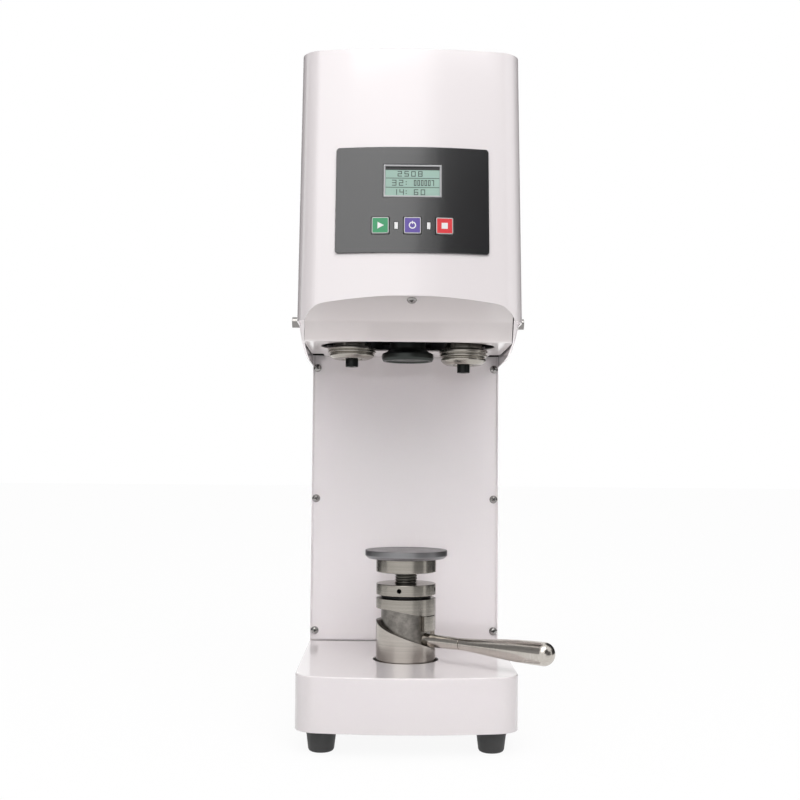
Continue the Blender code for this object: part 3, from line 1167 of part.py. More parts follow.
def build_lift():
    """Fixed ramp sleeve, cam sleeve, lift rod, height nut, collar and rest plate."""
    bore = PLUNGER_RADIUS + GAP
    floor = plate_top + GAP
    flange_top = floor + SLEEVE_FLANGE
    sharp = 0.25
    ramp_angles = (spread(RAMP_START, RAMP_END, 7.0) + spread(RAMP_END, WELL_END, 9.0)
                   + [WELL_END, WELL_END + sharp]
                   + spread(WELL_END + 9.0, RAMP_START + 360.0, 10.0))

    def ramp_section(degrees):
        if degrees <= RAMP_END:
            top = ramp_high - RAMP_PER_DEGREE * (degrees - RAMP_START)
        elif degrees <= WELL_END:
            top = ramp_low
        else:
            top = ramp_high
        return [(bore, floor), (SLEEVE_FLANGE_RADIUS, floor), (SLEEVE_FLANGE_RADIUS, flange_top),
                (SLEEVE_RADIUS, flange_top), (SLEEVE_RADIUS, top), (bore, top)]

    loft_round("ramp_sleeve", ramp_angles, ramp_section, STEEL_SATIN, MACHINE)

    rod_bore = ROD_RADIUS + GAP
    cam_foot = base_top - BASE_HEIGHT + CAM_FOOT_RISE
    slant_start, slant_end = CAM_SLANT_START, BLOCK_START - 1.0
    cam_angles = (spread(slant_start, slant_end, 7.0) + [slant_end] + spread(BLOCK_START, BLOCK_END, 8.0)
                  + [BLOCK_END, BLOCK_END + sharp] + spread(BLOCK_END + 8.0, slant_start + 360.0, 9.0))

    def cam_section(degrees):
        if degrees <= slant_end:
            low = cam_skirt_low + CAM_SKIRT_SLANT * (slant_end - degrees) / (slant_end - slant_start)
        elif degrees <= BLOCK_END:
            low = cam_skirt_low
        else:
            low = cam_skirt_low + CAM_SKIRT_SLANT
        return [(rod_bore, cam_foot), (PLUNGER_RADIUS, cam_foot), (PLUNGER_RADIUS, low),
                (SLEEVE_RADIUS, low), (SLEEVE_RADIUS, cam_top - EDGE_BREAK),
                (SLEEVE_RADIUS - EDGE_BREAK, cam_top), (rod_bore, cam_top)]

    cam = loft_round("cam_sleeve", cam_angles, cam_section, STEEL_SATIN, CAM_AXIS)
    lever_hole = turned("lever_hole", [(0, 0.035), (LEVER_RADIUS + GAP, 0.035),
                                       (LEVER_RADIUS + GAP, LEVER_ROOT - GAP), (0, LEVER_ROOT - GAP)],
                        None, LEVER_FRAME, steps=SMALL_STEPS + 4)
    boolean(cam, lever_hole)

    block_top = cam_skirt_low - GAP
    first, last = BLOCK_START + BLOCK_MARGIN, BLOCK_END - BLOCK_MARGIN
    pieces = spread(first, last, 8.0) + [last]
    block = [(r * math.sin(a), -r * math.cos(a))
             for r, turns in ((SLEEVE_RADIUS, pieces), (bore, reversed(pieces)))
             for a in (math.radians(t) for t in turns)]
    plate("cam_block", [block], block_top - BLOCK_HEIGHT, block_top, STEEL_SATIN, CAM_AXIS)

    turned("thrust_washer", [(PLUNGER_RADIUS, washer_top), (PLUNGER_RADIUS, cam_top + GAP),
                             (rod_bore, cam_top + GAP), (rod_bore, washer_top)],
           BOLT_BLACK, LIFT_AXIS, ring=True)
    nut = turned("height_nut",
                 [(SLEEVE_RADIUS - EDGE_BREAK, nut_top), (SLEEVE_RADIUS, nut_top - EDGE_BREAK),
                  (SLEEVE_RADIUS, nut_bottom + EDGE_BREAK), (SLEEVE_RADIUS - EDGE_BREAK, nut_bottom),
                  (rod_bore, nut_bottom), (rod_bore, nut_top)],
                 STEEL_SATIN, LIFT_AXIS, ring=True, steps=WIDE_STEPS)
    hole_low = SLEEVE_RADIUS - TOMMY_HOLE_DEPTH
    for number in range(4):
        turn = math.radians(TOMMY_HOLE_ANGLE + 90.0 * number)
        drill = turned(f"tommy_hole_{number}",
                       [(0, SLEEVE_RADIUS + 0.002), (TOMMY_HOLE_RADIUS, SLEEVE_RADIUS + 0.002),
                        (TOMMY_HOLE_RADIUS, hole_low), (0, hole_low)], None, LIFT_AXIS, steps=SMALL_STEPS,
                       location=(0, 0, (nut_bottom + nut_top) / 2),
                       rotation=(math.pi / 2, 0, turn))
        boolean(nut, drill)

    web_low = collar_top - PLATE_SPIGOT - GAP - COLLAR_WEB
    web_top = web_low + COLLAR_WEB
    rod_foot = base_top - BASE_HEIGHT + ROD_FOOT_RISE
    turned("lift_rod",
           [(0, web_low - GAP), (ROD_RADIUS, web_low - GAP), (ROD_RADIUS, rod_foot + EDGE_BREAK),
            (ROD_RADIUS - EDGE_BREAK, rod_foot), (0, rod_foot)],
           STEEL_BRIGHT, LIFT_AXIS)
    rim = COLLAR_RADIUS - EDGE_BREAK
    spigot_bore = PLATE_SPIGOT_RADIUS + GAP
    turned("plate_collar",
           [(0, web_top), (spigot_bore, web_top), (spigot_bore, collar_top), (rim, collar_top),
            (COLLAR_RADIUS, collar_top - EDGE_BREAK), (COLLAR_RADIUS, collar_bottom + EDGE_BREAK),
            (rim, collar_bottom), (rod_bore, collar_bottom), (rod_bore, web_low), (0, web_low)],
           STEEL_SATIN, LIFT_AXIS, steps=WIDE_STEPS)
    low = collar_top + GAP
    high = low + PLATE_HEIGHT
    turned("rest_plate", [(0, high), (PLATE_RADIUS - EDGE_BREAK, high), (PLATE_RADIUS, high - EDGE_BREAK),
                          (PLATE_RADIUS, low + PLATE_CHAMFER), (PLATE_RADIUS - PLATE_CHAMFER, low),
                          (PLATE_SPIGOT_RADIUS, low), (PLATE_SPIGOT_RADIUS, low - PLATE_SPIGOT + GAP),
                          (0, low - PLATE_SPIGOT + GAP)],
           STEEL_BRIGHT, LIFT_AXIS, steps=WIDE_STEPS + 8)


def build_lever():
    """Lever shank screwed into the cam sleeve, and its tapered grip."""
    turned("lever_shank",
           [(0, LEVER_SHOULDER + LEVER_SPIGOT), (LEVER_SPIGOT_RADIUS, LEVER_SHOULDER + LEVER_SPIGOT),
            (LEVER_SPIGOT_RADIUS, LEVER_SHOULDER), (LEVER_NECK_RADIUS, LEVER_SHOULDER),
            (LEVER_RADIUS, SLEEVE_RADIUS + LEVER_COLLAR), (LEVER_RADIUS, LEVER_ROOT), (0, LEVER_ROOT)],
           STAINLESS, LEVER_FRAME, steps=HIDDEN_STEPS)
    ball = grip_end - GRIP_END_RADIUS
    bore = LEVER_SPIGOT_RADIUS + GAP
    dome = [(GRIP_END_RADIUS * math.sin(a), ball + GRIP_END_RADIUS * math.cos(a))
            for a in (math.pi / 2 * i / 5 for i in range(6))]
    dome[0] = (0.0, grip_end)
    start = LEVER_SHOULDER + GAP
    turned("lever_grip",
           dome + [(LEVER_NECK_RADIUS, start), (bore, start), (bore, start + LEVER_SPIGOT),
                   (0, start + LEVER_SPIGOT)],
           STAINLESS, LEVER_FRAME, steps=HIDDEN_STEPS + 4)


clear_scene()
PARTS = collection("cup_seaming_machine")
CUTTERS = collection("cutters")

PAINT = material("white_paint", (0.80, 0.77, 0.78), 0.0, 0.30)
PAINT_INNER = material("white_paint_inner", (0.74, 0.70, 0.70), 0.0, 0.40)
STAINLESS = material("stainless_steel", (0.62, 0.60, 0.58), 1.0, 0.20)
CHROME = material("chrome_bolt", (0.70, 0.70, 0.70), 1.0, 0.12)
STEEL_SATIN = material("satin_steel", (0.55, 0.53, 0.51), 1.0, 0.32)
STEEL_BRIGHT = material("bright_steel", (0.60, 0.59, 0.58), 1.0, 0.22)
STEEL_DARK = material("dark_steel", (0.22, 0.22, 0.23), 0.9, 0.45)
CAST_GREY = material("grey_casting", (0.30, 0.30, 0.31), 0.6, 0.50)
CHUCK_BLACK = material("blackened_steel", (0.06, 0.065, 0.065), 0.8, 0.35)
BOLT_BLACK = material("black_oxide", (0.02, 0.02, 0.02), 0.6, 0.40)
ALUMINIUM = material("aluminium", (0.66, 0.66, 0.67), 1.0, 0.35)
RUBBER = material("foot_rubber", (0.02, 0.02, 0.02), 0.0, 0.80)
BELT_RUBBER = material("belt_rubber", (0.03, 0.03, 0.03), 0.0, 0.70)
BLACK_PLASTIC = material("black_plastic", (0.02, 0.02, 0.02), 0.0, 0.45)
PANEL_BLACK = material("panel_film", (0.09, 0.09, 0.095), 0.0, 0.30)
LCD_GREEN = material("lcd_glass", (0.28, 0.49, 0.40), 0.0, 0.15)
KEY_GREEN = material("green_key", (0.05, 0.42, 0.18), 0.0, 0.40)
KEY_PURPLE = material("purple_key", (0.33, 0.17, 0.45), 0.0, 0.40)
KEY_RED = material("red_key", (0.62, 0.06, 0.05), 0.0, 0.40)
LENS_WHITE = material("indicator_lens", (0.85, 0.85, 0.85), 0.0, 0.30)
BOARD_GREEN = material("circuit_board", (0.03, 0.20, 0.08), 0.0, 0.50)

crank_y = CRANK_PIN_Y - CRANK_THROW
MACHINE = empty("machine", ((machine_left - machine_right) / 2,
                            (HEAD_REACH - machine_back - rocker_reach) / 2, 0))
SPINDLE_AXIS = empty("spindle_axis", (0, 0, 0), MACHINE)
MOTOR_AXIS = empty("motor_axis", (0, motor_y, 0), MACHINE)
CRANK_AXIS = empty("crank_axis", (0, crank_y, 0), MACHINE)
LIFT_AXIS = empty("lift_axis", (0, 0, 0), MACHINE)
CAM_AXIS = empty("cam_axis", (0, 0, 0), LIFT_AXIS)
LEVER_FRAME = empty("lever_frame", (0, 0, lever_z), CAM_AXIS, (0, math.pi / 2, lever_yaw))
PANEL = empty("panel_frame", (PANEL_X, -HEAD_REACH + math.tan(HEAD_LEAN) * (PANEL_RISE - MOUTH_RISE),
                              under_z + PANEL_RISE), MACHINE, (math.pi / 2 - HEAD_LEAN, 0, 0))

build_base(build_feet())
build_column()
build_back()
build_side_bolts(build_head_shell())
build_under_cover()
build_panel()
build_head_plate()
build_spindle()
build_drive()
build_arm("left", -1, LEFT_ROLLER_HEIGHT, True)
build_arm("right", 1, RIGHT_ROLLER_HEIGHT, False)
build_crank()
build_lift()
build_lever()
bpy.context.view_layer.update()
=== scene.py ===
"""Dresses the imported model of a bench-top cup and can sealing machine.

The CAD frame holds every solid and how it moves. This file adds the look: smooth turned pieces, the
screw thread, sockets in the bolts, the control panel's keys and display, the finishes and the stage.
Each operator makes one piece or one group of like pieces, in metres, in the frame of the CAD model.
"""

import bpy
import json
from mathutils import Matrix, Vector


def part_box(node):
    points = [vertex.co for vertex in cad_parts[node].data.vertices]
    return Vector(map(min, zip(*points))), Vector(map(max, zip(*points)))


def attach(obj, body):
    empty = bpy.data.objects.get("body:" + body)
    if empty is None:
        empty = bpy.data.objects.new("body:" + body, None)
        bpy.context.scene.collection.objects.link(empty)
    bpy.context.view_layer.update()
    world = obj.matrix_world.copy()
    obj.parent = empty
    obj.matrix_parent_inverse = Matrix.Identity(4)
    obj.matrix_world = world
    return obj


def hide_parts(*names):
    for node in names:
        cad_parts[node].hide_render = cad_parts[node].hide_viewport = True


bl_info = {
    "name": "Cup and can sealing machine",
    "version": (1, 0, 0),
    "blender": (4, 5, 0),
    "location": "View3D > Sidebar > Sealing machine",
    "description": "Makes the visible pieces of a bench-top sealing machine around its CAD frame",
    "category": "Add Mesh",
}

import json
import math

import bmesh
import bpy
from bpy.props import FloatProperty, FloatVectorProperty, PointerProperty
from mathutils import Matrix, Vector

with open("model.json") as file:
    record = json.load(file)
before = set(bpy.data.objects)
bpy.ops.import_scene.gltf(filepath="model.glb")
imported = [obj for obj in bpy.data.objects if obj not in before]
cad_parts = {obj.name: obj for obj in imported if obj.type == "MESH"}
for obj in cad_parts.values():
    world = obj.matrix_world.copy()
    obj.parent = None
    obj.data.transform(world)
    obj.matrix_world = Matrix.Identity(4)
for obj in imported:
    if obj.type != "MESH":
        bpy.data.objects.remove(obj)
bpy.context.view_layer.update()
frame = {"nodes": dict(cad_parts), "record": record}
JOINTS = {joint["name"]: joint for joint in frame["record"]["behaviour"]["joints"]}
SPINDLE = Vector((*JOINTS["spindle_spin"]["pos_m"][:2], 0.0))
UP = Vector((0, 0, 1))

# Facets round a turned piece: large ones, the others, and small fasteners
LARGE_STEPS = 128
STEPS = 96
SMALL_STEPS = 32

# Facets of a body outline's corners and of its bowed front
CORNER_STEPS = 14
BOW_STEPS = 40

# How far a cutter reaches past what it cuts
TRIM = 0.02

# Half the width of the head over its side walls
HEAD_HALF = 0.1022

# How far the control panel sits to the right of the middle
PANEL_SHIFT = 0.0015

# How far the lever is turned about Z from the X axis at rest
LEVER_YAW = math.radians(-37.4)

# Turns for a prism that is drawn from the side (depth, height) or from the front (across, height)
FROM_SIDE = Matrix(((0, 0, 1, 0), (1, 0, 0, 0), (0, 1, 0, 0), (0, 0, 0, 1)))
FROM_FRONT = Matrix(((1, 0, 0, 0), (0, 0, -1, 0), (0, 1, 0, 0), (0, 0, 0, 1)))

# Arch of the head's mouth in front view: distance in from the head's side, height above its flat underside
MOUTH_ARCH = ((-0.030, 0.0125), (0.0077, 0.0125), (0.0091, 0.0160), (0.0116, 0.0203), (0.0172, 0.0252),
              (0.0232, 0.0278), (0.0397, 0.0299), (0.0560, 0.0318), (0.0760, 0.0334), (0.0960, 0.0348))


def colour_prop(name, description, default):
    """A colour that the user can change."""
    return FloatVectorProperty(name=name, description=description, default=default, subtype="COLOR",
                               min=0.0, max=1.0, size=3)


def length_prop(name, description, default):
    """A length that the user can change."""
    return FloatProperty(name=name, description=description, default=default, unit="LENGTH", precision=5)


class SealerFinish(bpy.types.PropertyGroup):
    """Colours of the finishes."""

    paint: colour_prop("Paint", "Gloss powder coat outside", (0.80, 0.755, 0.765))
    # The under cover gets the outside powder coat painted darker: painted shade, as it faces down under the
    # head.
    inner_paint_shaded: colour_prop("Under paint", "Powder coat under the head", (0.635, 0.59, 0.585))
    steel: colour_prop("Steel", "Polished stainless steel", (0.58, 0.545, 0.50))
    roller: colour_prop("Roller steel", "Ground steel of the rollers", (0.42, 0.395, 0.355))
    turned: colour_prop("Turned steel", "Satin turned steel of the lift", (0.37, 0.345, 0.31))
    # Darker copy of the turned steel with cloudy rub marks: painted shade on faces tucked under or inside
    # other parts.
    scuffed_shaded: colour_prop("Scuffed steel", "Rubbed steel of the sliding faces", (0.23, 0.215, 0.197))
    film: colour_prop("Panel film", "Dark film of the control panel", (0.014, 0.014, 0.015))
    screen: colour_prop("Screen", "Lit display", (0.27, 0.43, 0.36))
    start: colour_prop("Start key", "Green key", (0.012, 0.27, 0.10))
    mode: colour_prop("Mode key", "Purple key", (0.085, 0.045, 0.31))
    stop: colour_prop("Stop key", "Red key", (0.72, 0.022, 0.032))


class SealerShape(bpy.types.PropertyGroup):
    """Sizes of the sheet metal, the edges and the thread."""

    sheet: length_prop("Sheet", "Thickness of the head's sheet metal", 0.0012)
    edge: length_prop("Edge", "Radius on machined edges", 0.0004)
    fold: length_prop("Fold", "Radius of the folds in the sheet metal", 0.0030)
    bow: length_prop("Bow", "How far the front bows out", 0.0108)
    corner: length_prop("Corner", "Radius of the body's upright corners", 0.0230)
    lean: FloatProperty(name="Lean", description="How far the head's face leans back",
                        default=math.radians(8.0), unit="ROTATION")
    mouth_rise: length_prop("Mouth", "Height of the head's front lip above its flat underside", 0.034)
    fold_rise: length_prop("Fold height", "Height of the under cover's front fold", 0.016)
    front_fold: length_prop("Front fold", "Depth of the under cover's front fold from the spindle", -0.071)
    rear_fold: length_prop("Rear fold", "Depth of the under cover's rear fold from the spindle", -0.048)
    side_curve_end: length_prop("Side curve", "Where the side walls' lower curve ends", 0.050)
    opening_depth: length_prop("Opening", "Half the depth of the opening for the rollers", 0.046)
    opening_length: length_prop("Opening length", "Half the length of the opening for the rollers", 0.0855)
    notch_width: length_prop("Notch width", "Width of the notches at the under cover's rear corners", 0.0125)
    notch_depth: length_prop("Notch depth", "Depth of the notches at the under cover's rear corners", 0.036)
    hem: length_prop("Hem", "Width of the flange folded inwards along the head's side walls", 0.0070)
    mouth_bow: length_prop("Mouth bow", "How far the front edge of the mouth bows out", 0.0100)
    mouth_corner: length_prop("Mouth corner", "Radius of the mouth's front corners", 0.0160)
    cover_rim: length_prop("Cover rim", "Radius round the top of the base cover", 0.0013)
    pitch: length_prop("Pitch", "Pitch of the lift rod's thread", 0.0025)
    thread_depth: length_prop("Thread depth", "Depth of the lift rod's thread", 0.0013)


class SealerStage(bpy.types.PropertyGroup):
    """Camera and lamps."""

    camera: FloatVectorProperty(name="Camera", description="Where the camera stands", subtype="TRANSLATION",
                                unit="LENGTH", default=(-0.02885, -1.20289, 0.26047))
    pitch: FloatProperty(name="Pitch", description="How far the camera looks up", default=math.radians(3.102),
                         unit="ROTATION")
    yaw: FloatProperty(name="Yaw", description="How far the camera turns to the left",
                       default=math.radians(-0.595), unit="ROTATION")
    roll: FloatProperty(name="Roll", description="How far the camera leans", default=math.radians(0.446),
                        unit="ROTATION")
    lens: FloatProperty(name="Lens", description="Focal length in millimetres on a 36 mm sensor",
                        default=52.206, unit="CAMERA")
    ambient: FloatProperty(name="Ambient", description="Strength of the light from above", default=1.15)
    key: FloatProperty(name="Key lamp", description="Power of the lamp at the front left", default=11.0,
                       unit="POWER")
    fill: FloatProperty(name="Fill lamp", description="Power of the lamp at the front right", default=11.0,
                        unit="POWER")
    top: FloatProperty(name="Top lamp", description="Power of the lamp in front and above", default=17.0,
                       unit="POWER")
    low: FloatProperty(name="Low lamp", description="Power of each lamp that lights the head from below",
                       default=0.08, unit="POWER")
    column: FloatProperty(name="Column lamp", description="Power of the lamp that lights the column's foot",
                          default=0.0576, unit="POWER")


def verts_of(geom):
    """Vertices among the geometry that an operation made."""
    return [item for item in geom if isinstance(item, bmesh.types.BMVert)]


def arc_spin(bm, vert, centre, angle, steps):
    """Turn a vertex about an upright axis, drawing an arc of edges, and return the last vertex."""
    made = bmesh.ops.spin(bm, geom=[vert], cent=(*centre, vert.co.z), axis=UP, angle=angle, steps=steps,
                          use_merge=False)
    return verts_of(made["geom_last"])[0]


def draw_to(bm, vert, place):
    """Draw an edge from a vertex to a place and return its far end."""
    far = bm.verts.new(place)
    bm.edges.new((vert, far))
    return far


def body_outline(bm, rise, corner, half_width, reach, inset, back, z, flare=None):
    """Draw the bowed front of a body seen from above, from its right rear to its left rear."""
    bow = (half_width ** 2 + rise ** 2) / (2 * rise)
    centre_y = bow - reach
    corner_x = half_width - corner
    corner_y = centre_y - math.sqrt((bow - corner) ** 2 - corner_x ** 2)
    turn = math.atan2(corner_x, centre_y - corner_y)
    side = half_width - inset
    path = [(side, back, z), (side, corner_y, z)] if flare is None else [
        (flare[0], back, z), (*flare, z), (side, corner_y, z)]
    vert = bm.verts.new(path[0])
    for place in path[1:]:
        vert = draw_to(bm, vert, place)
    vert = arc_spin(bm, vert, (corner_x, corner_y), turn - math.pi / 2, CORNER_STEPS)
    vert = arc_spin(bm, vert, (0.0, centre_y), -2 * turn, BOW_STEPS)
    vert = arc_spin(bm, vert, (-corner_x, corner_y), turn - math.pi / 2, CORNER_STEPS)
    for x, y, height in reversed(path[:-1]):
        vert = draw_to(bm, vert, (-x, y, height))
    bmesh.ops.remove_doubles(bm, verts=bm.verts, dist=0.00001)


def filled_outline(*outline):
    """Flat face inside a bowed outline."""
    bm = bmesh.new()
    body_outline(bm, *outline)
    bmesh.ops.contextual_create(bm, geom=bm.verts[:] + bm.edges[:])
    return bm


def raise_edges(bm, edges, height):
    """Pull edges up or down into walls."""
    made = bmesh.ops.extrude_edge_only(bm, edges=edges)["geom"]
    bmesh.ops.translate(bm, vec=(0, 0, height), verts=verts_of(made))


def turn_top_up(bm):
    """Turn the faces of an open cover so that its top looks up."""
    top = max(bm.faces, key=lambda face: len(face.verts))
    bmesh.ops.recalc_face_normals(bm, faces=bm.faces)
    if top.normal.z < 0:
        bmesh.ops.reverse_faces(bm, faces=bm.faces)


def lean_back(bm, shape, pivot_z, back):
    """Lean everything in front of a plane back with height."""
    for vert in bm.verts:
        if vert.co.y < back - 0.001:
            vert.co.y += math.tan(shape.lean) * (vert.co.z - pivot_z)


def rounded_path(points, passes=3):
    """Path whose corners are cut again and again until it's smooth; its ends stay."""
    for _ in range(passes):
        cut = [points[0]]
        for (x0, y0), (x1, y1) in zip(points, points[1:]):
            for near, far in ((0.75, 0.25), (0.25, 0.75)):
                cut.append((near * x0 + far * x1, near * y0 + far * y1))
        points = [*cut, points[-1]]
    return points


def raised(bm, height):
    """Pull a flat face up into a closed solid."""
    made = bmesh.ops.extrude_face_region(bm, geom=bm.faces[:])["geom"]
    bmesh.ops.translate(bm, vec=(0, 0, height), verts=verts_of(made))
    bmesh.ops.recalc_face_normals(bm, faces=bm.faces)
    return bm


def prism(outline, low, high):
    """Closed solid over a flat outline."""
    bm = bmesh.new()
    bm.faces.new([bm.verts.new((x, y, low)) for x, y in outline])
    return raised(bm, high - low)


def outline_prism(rise, corner, half_width, reach, inset, back, low, high, flare=None):
    """Closed solid over a bowed outline."""
    return raised(filled_outline(rise, corner, half_width, reach, inset, back, low, flare), high - low)


def round_edges(bm, edges, radius, segments, clamp=False):
    """Round some edges."""
    bmesh.ops.bevel(bm, geom=edges, offset=radius, offset_type="OFFSET", segments=segments, profile=0.5,
                    affect="EDGES", clamp_overlap=clamp, material=-1)


def swept_sheet(path, half_width, thickness, folds=0.0):
    """Sheet metal that follows (depth, height) points and reaches across, its outer face down."""
    bm = bmesh.new()
    verts = [bm.verts.new((-half_width, y, z)) for y, z in path]
    edges = [bm.edges.new(pair) for pair in zip(verts, verts[1:])]
    across = bmesh.ops.extrude_edge_only(bm, edges=edges)["geom"]
    bmesh.ops.translate(bm, vec=(2 * half_width, 0, 0), verts=verts_of(across))
    if folds:
        round_edges(bm, [edge for edge in bm.edges if len(edge.link_faces) == 2], folds, 5)
    bmesh.ops.recalc_face_normals(bm, faces=bm.faces)
    bm.faces.ensure_lookup_table()
    if bm.faces[0].normal.z > 0:
        bmesh.ops.reverse_faces(bm, faces=bm.faces)
    return thicken(bm, thickness)


def block(low, high):
    """Closed box between two corners."""
    bm = bmesh.new()
    low, high = Vector(low), Vector(high)
    place = Matrix.Translation((low + high) / 2) @ Matrix.Diagonal((*(high - low), 1.0))
    bmesh.ops.create_cube(bm, size=1.0, matrix=place)
    return bm


def drum(radius, low, high, steps=SMALL_STEPS):
    """Closed cylinder about the Z axis."""
    bm = bmesh.new()
    bmesh.ops.create_cone(bm, cap_ends=True, segments=steps, radius1=radius, radius2=radius,
                          depth=high - low, matrix=Matrix.Translation((0, 0, (low + high) / 2)))
    return bm


def lathe(profile, steps=STEPS, ring=False):
    """Spin (radius, height) points about the Z axis."""
    bm = bmesh.new()
    verts = [bm.verts.new((radius, 0, height)) for radius, height in profile]
    edges = [bm.edges.new(pair) for pair in zip(verts, verts[1:])]
    if ring:
        edges.append(bm.edges.new((verts[-1], verts[0])))
    bmesh.ops.spin(bm, geom=verts + edges, cent=(0, 0, 0), axis=UP, angle=math.tau, steps=steps,
                   use_merge=True)
    bmesh.ops.remove_doubles(bm, verts=bm.verts, dist=0.000005)
    bmesh.ops.recalc_face_normals(bm, faces=bm.faces)
    return bm


def soften(bm, width, segments=2, sharp=32.0):
    """Round the sharp edges."""
    limit = math.radians(sharp)
    edges = [edge for edge in bm.edges if len(edge.link_faces) == 2 and edge.calc_face_angle(0.0) > limit]
    round_edges(bm, edges, width, segments, clamp=True)
    return bm


def moved(bm, matrix):
    """Place a bmesh."""
    bmesh.ops.transform(bm, matrix=matrix, verts=bm.verts)
    return bm


def joined(*parts):
    """Put several bmeshes in one."""
    whole = parts[0]
    for part in parts[1:]:
        mesh = bpy.data.meshes.new("part")
        part.to_mesh(mesh)
        part.free()
        whole.from_mesh(mesh)
        bpy.data.meshes.remove(mesh)
    return whole


def solid_object(bm, name="solid"):
    """Link a bmesh as a passing object."""
    mesh = bpy.data.meshes.new(name)
    bm.to_mesh(mesh)
    bm.free()
    obj = bpy.data.objects.new(name, mesh)
    bpy.context.scene.collection.objects.link(obj)
    return obj


def carve(bm, *cutters, operation="DIFFERENCE"):
    """Cut closed solids out of another, or keep what they share."""
    body = solid_object(bm)
    tools = [solid_object(cutter, "cutter") for cutter in cutters]
    for tool in tools:
        modifier = body.modifiers.new("Cut", "BOOLEAN")
        modifier.solver = "EXACT"
        modifier.operation = operation
        modifier.object = tool
    evaluated = body.evaluated_get(bpy.context.evaluated_depsgraph_get())
    result = bmesh.new()
    result.from_mesh(evaluated.to_mesh())
    evaluated.to_mesh_clear()
    for obj in [body, *tools]:
        mesh = obj.data
        bpy.data.objects.remove(obj, do_unlink=True)
        bpy.data.meshes.remove(mesh)
    bmesh.ops.remove_doubles(result, verts=result.verts, dist=0.000002)
    return result


def thicken(bm, thickness):
    """Give an open surface its wall, on the side away from its normals."""
    bmesh.ops.solidify(bm, geom=bm.faces, thickness=thickness)
    bmesh.ops.recalc_face_normals(bm, faces=bm.faces)
    return bm


def finished(name, bm, finishes, body, nodes, sharp=40.0):
    """Make a bmesh a piece that rides on a body and stands for CAD nodes."""
    limit = math.radians(sharp)
    for face in bm.faces:
        face.smooth = True
    for edge in bm.edges:
        edge.smooth = edge.calc_face_angle(0.0) < limit
    mesh = bpy.data.meshes.new(name)
    bm.to_mesh(mesh)
    bm.free()
    for finish in finishes:
        mesh.materials.append(bpy.data.materials[f"{finish}_finish"])
    obj = bpy.data.objects.new(name, mesh)
    bpy.context.scene.collection.objects.link(obj)
    shading = obj.modifiers.new("Even shading", "WEIGHTED_NORMAL")
    shading.keep_sharp = True
    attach(obj, body)
    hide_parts(*nodes)
    return obj


def kept(finish, *nodes):
    """Give CAD nodes that stay in view their finish."""
    for node in nodes:
        mesh = frame["nodes"][node].data
        mesh.materials.clear()
        mesh.materials.append(bpy.data.materials[f"{finish}_finish"])


def lever_frame(height):
    """Frame whose Z runs along the lever, about the spindle's axis."""
    upright = Matrix.Translation((0, 0, height)) @ Matrix.Rotation(LEVER_YAW, 4, "Z")
    return upright @ Matrix.Rotation(math.pi / 2, 4, "Y")


def turned_box(node):
    """Axis, radius, foot and top of an upright turned CAD node."""
    low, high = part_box(node)
    axis = Vector(((low.x + high.x) / 2, (low.y + high.y) / 2, 0.0))
    return axis, (high.x - low.x) / 2, low.z, high.z


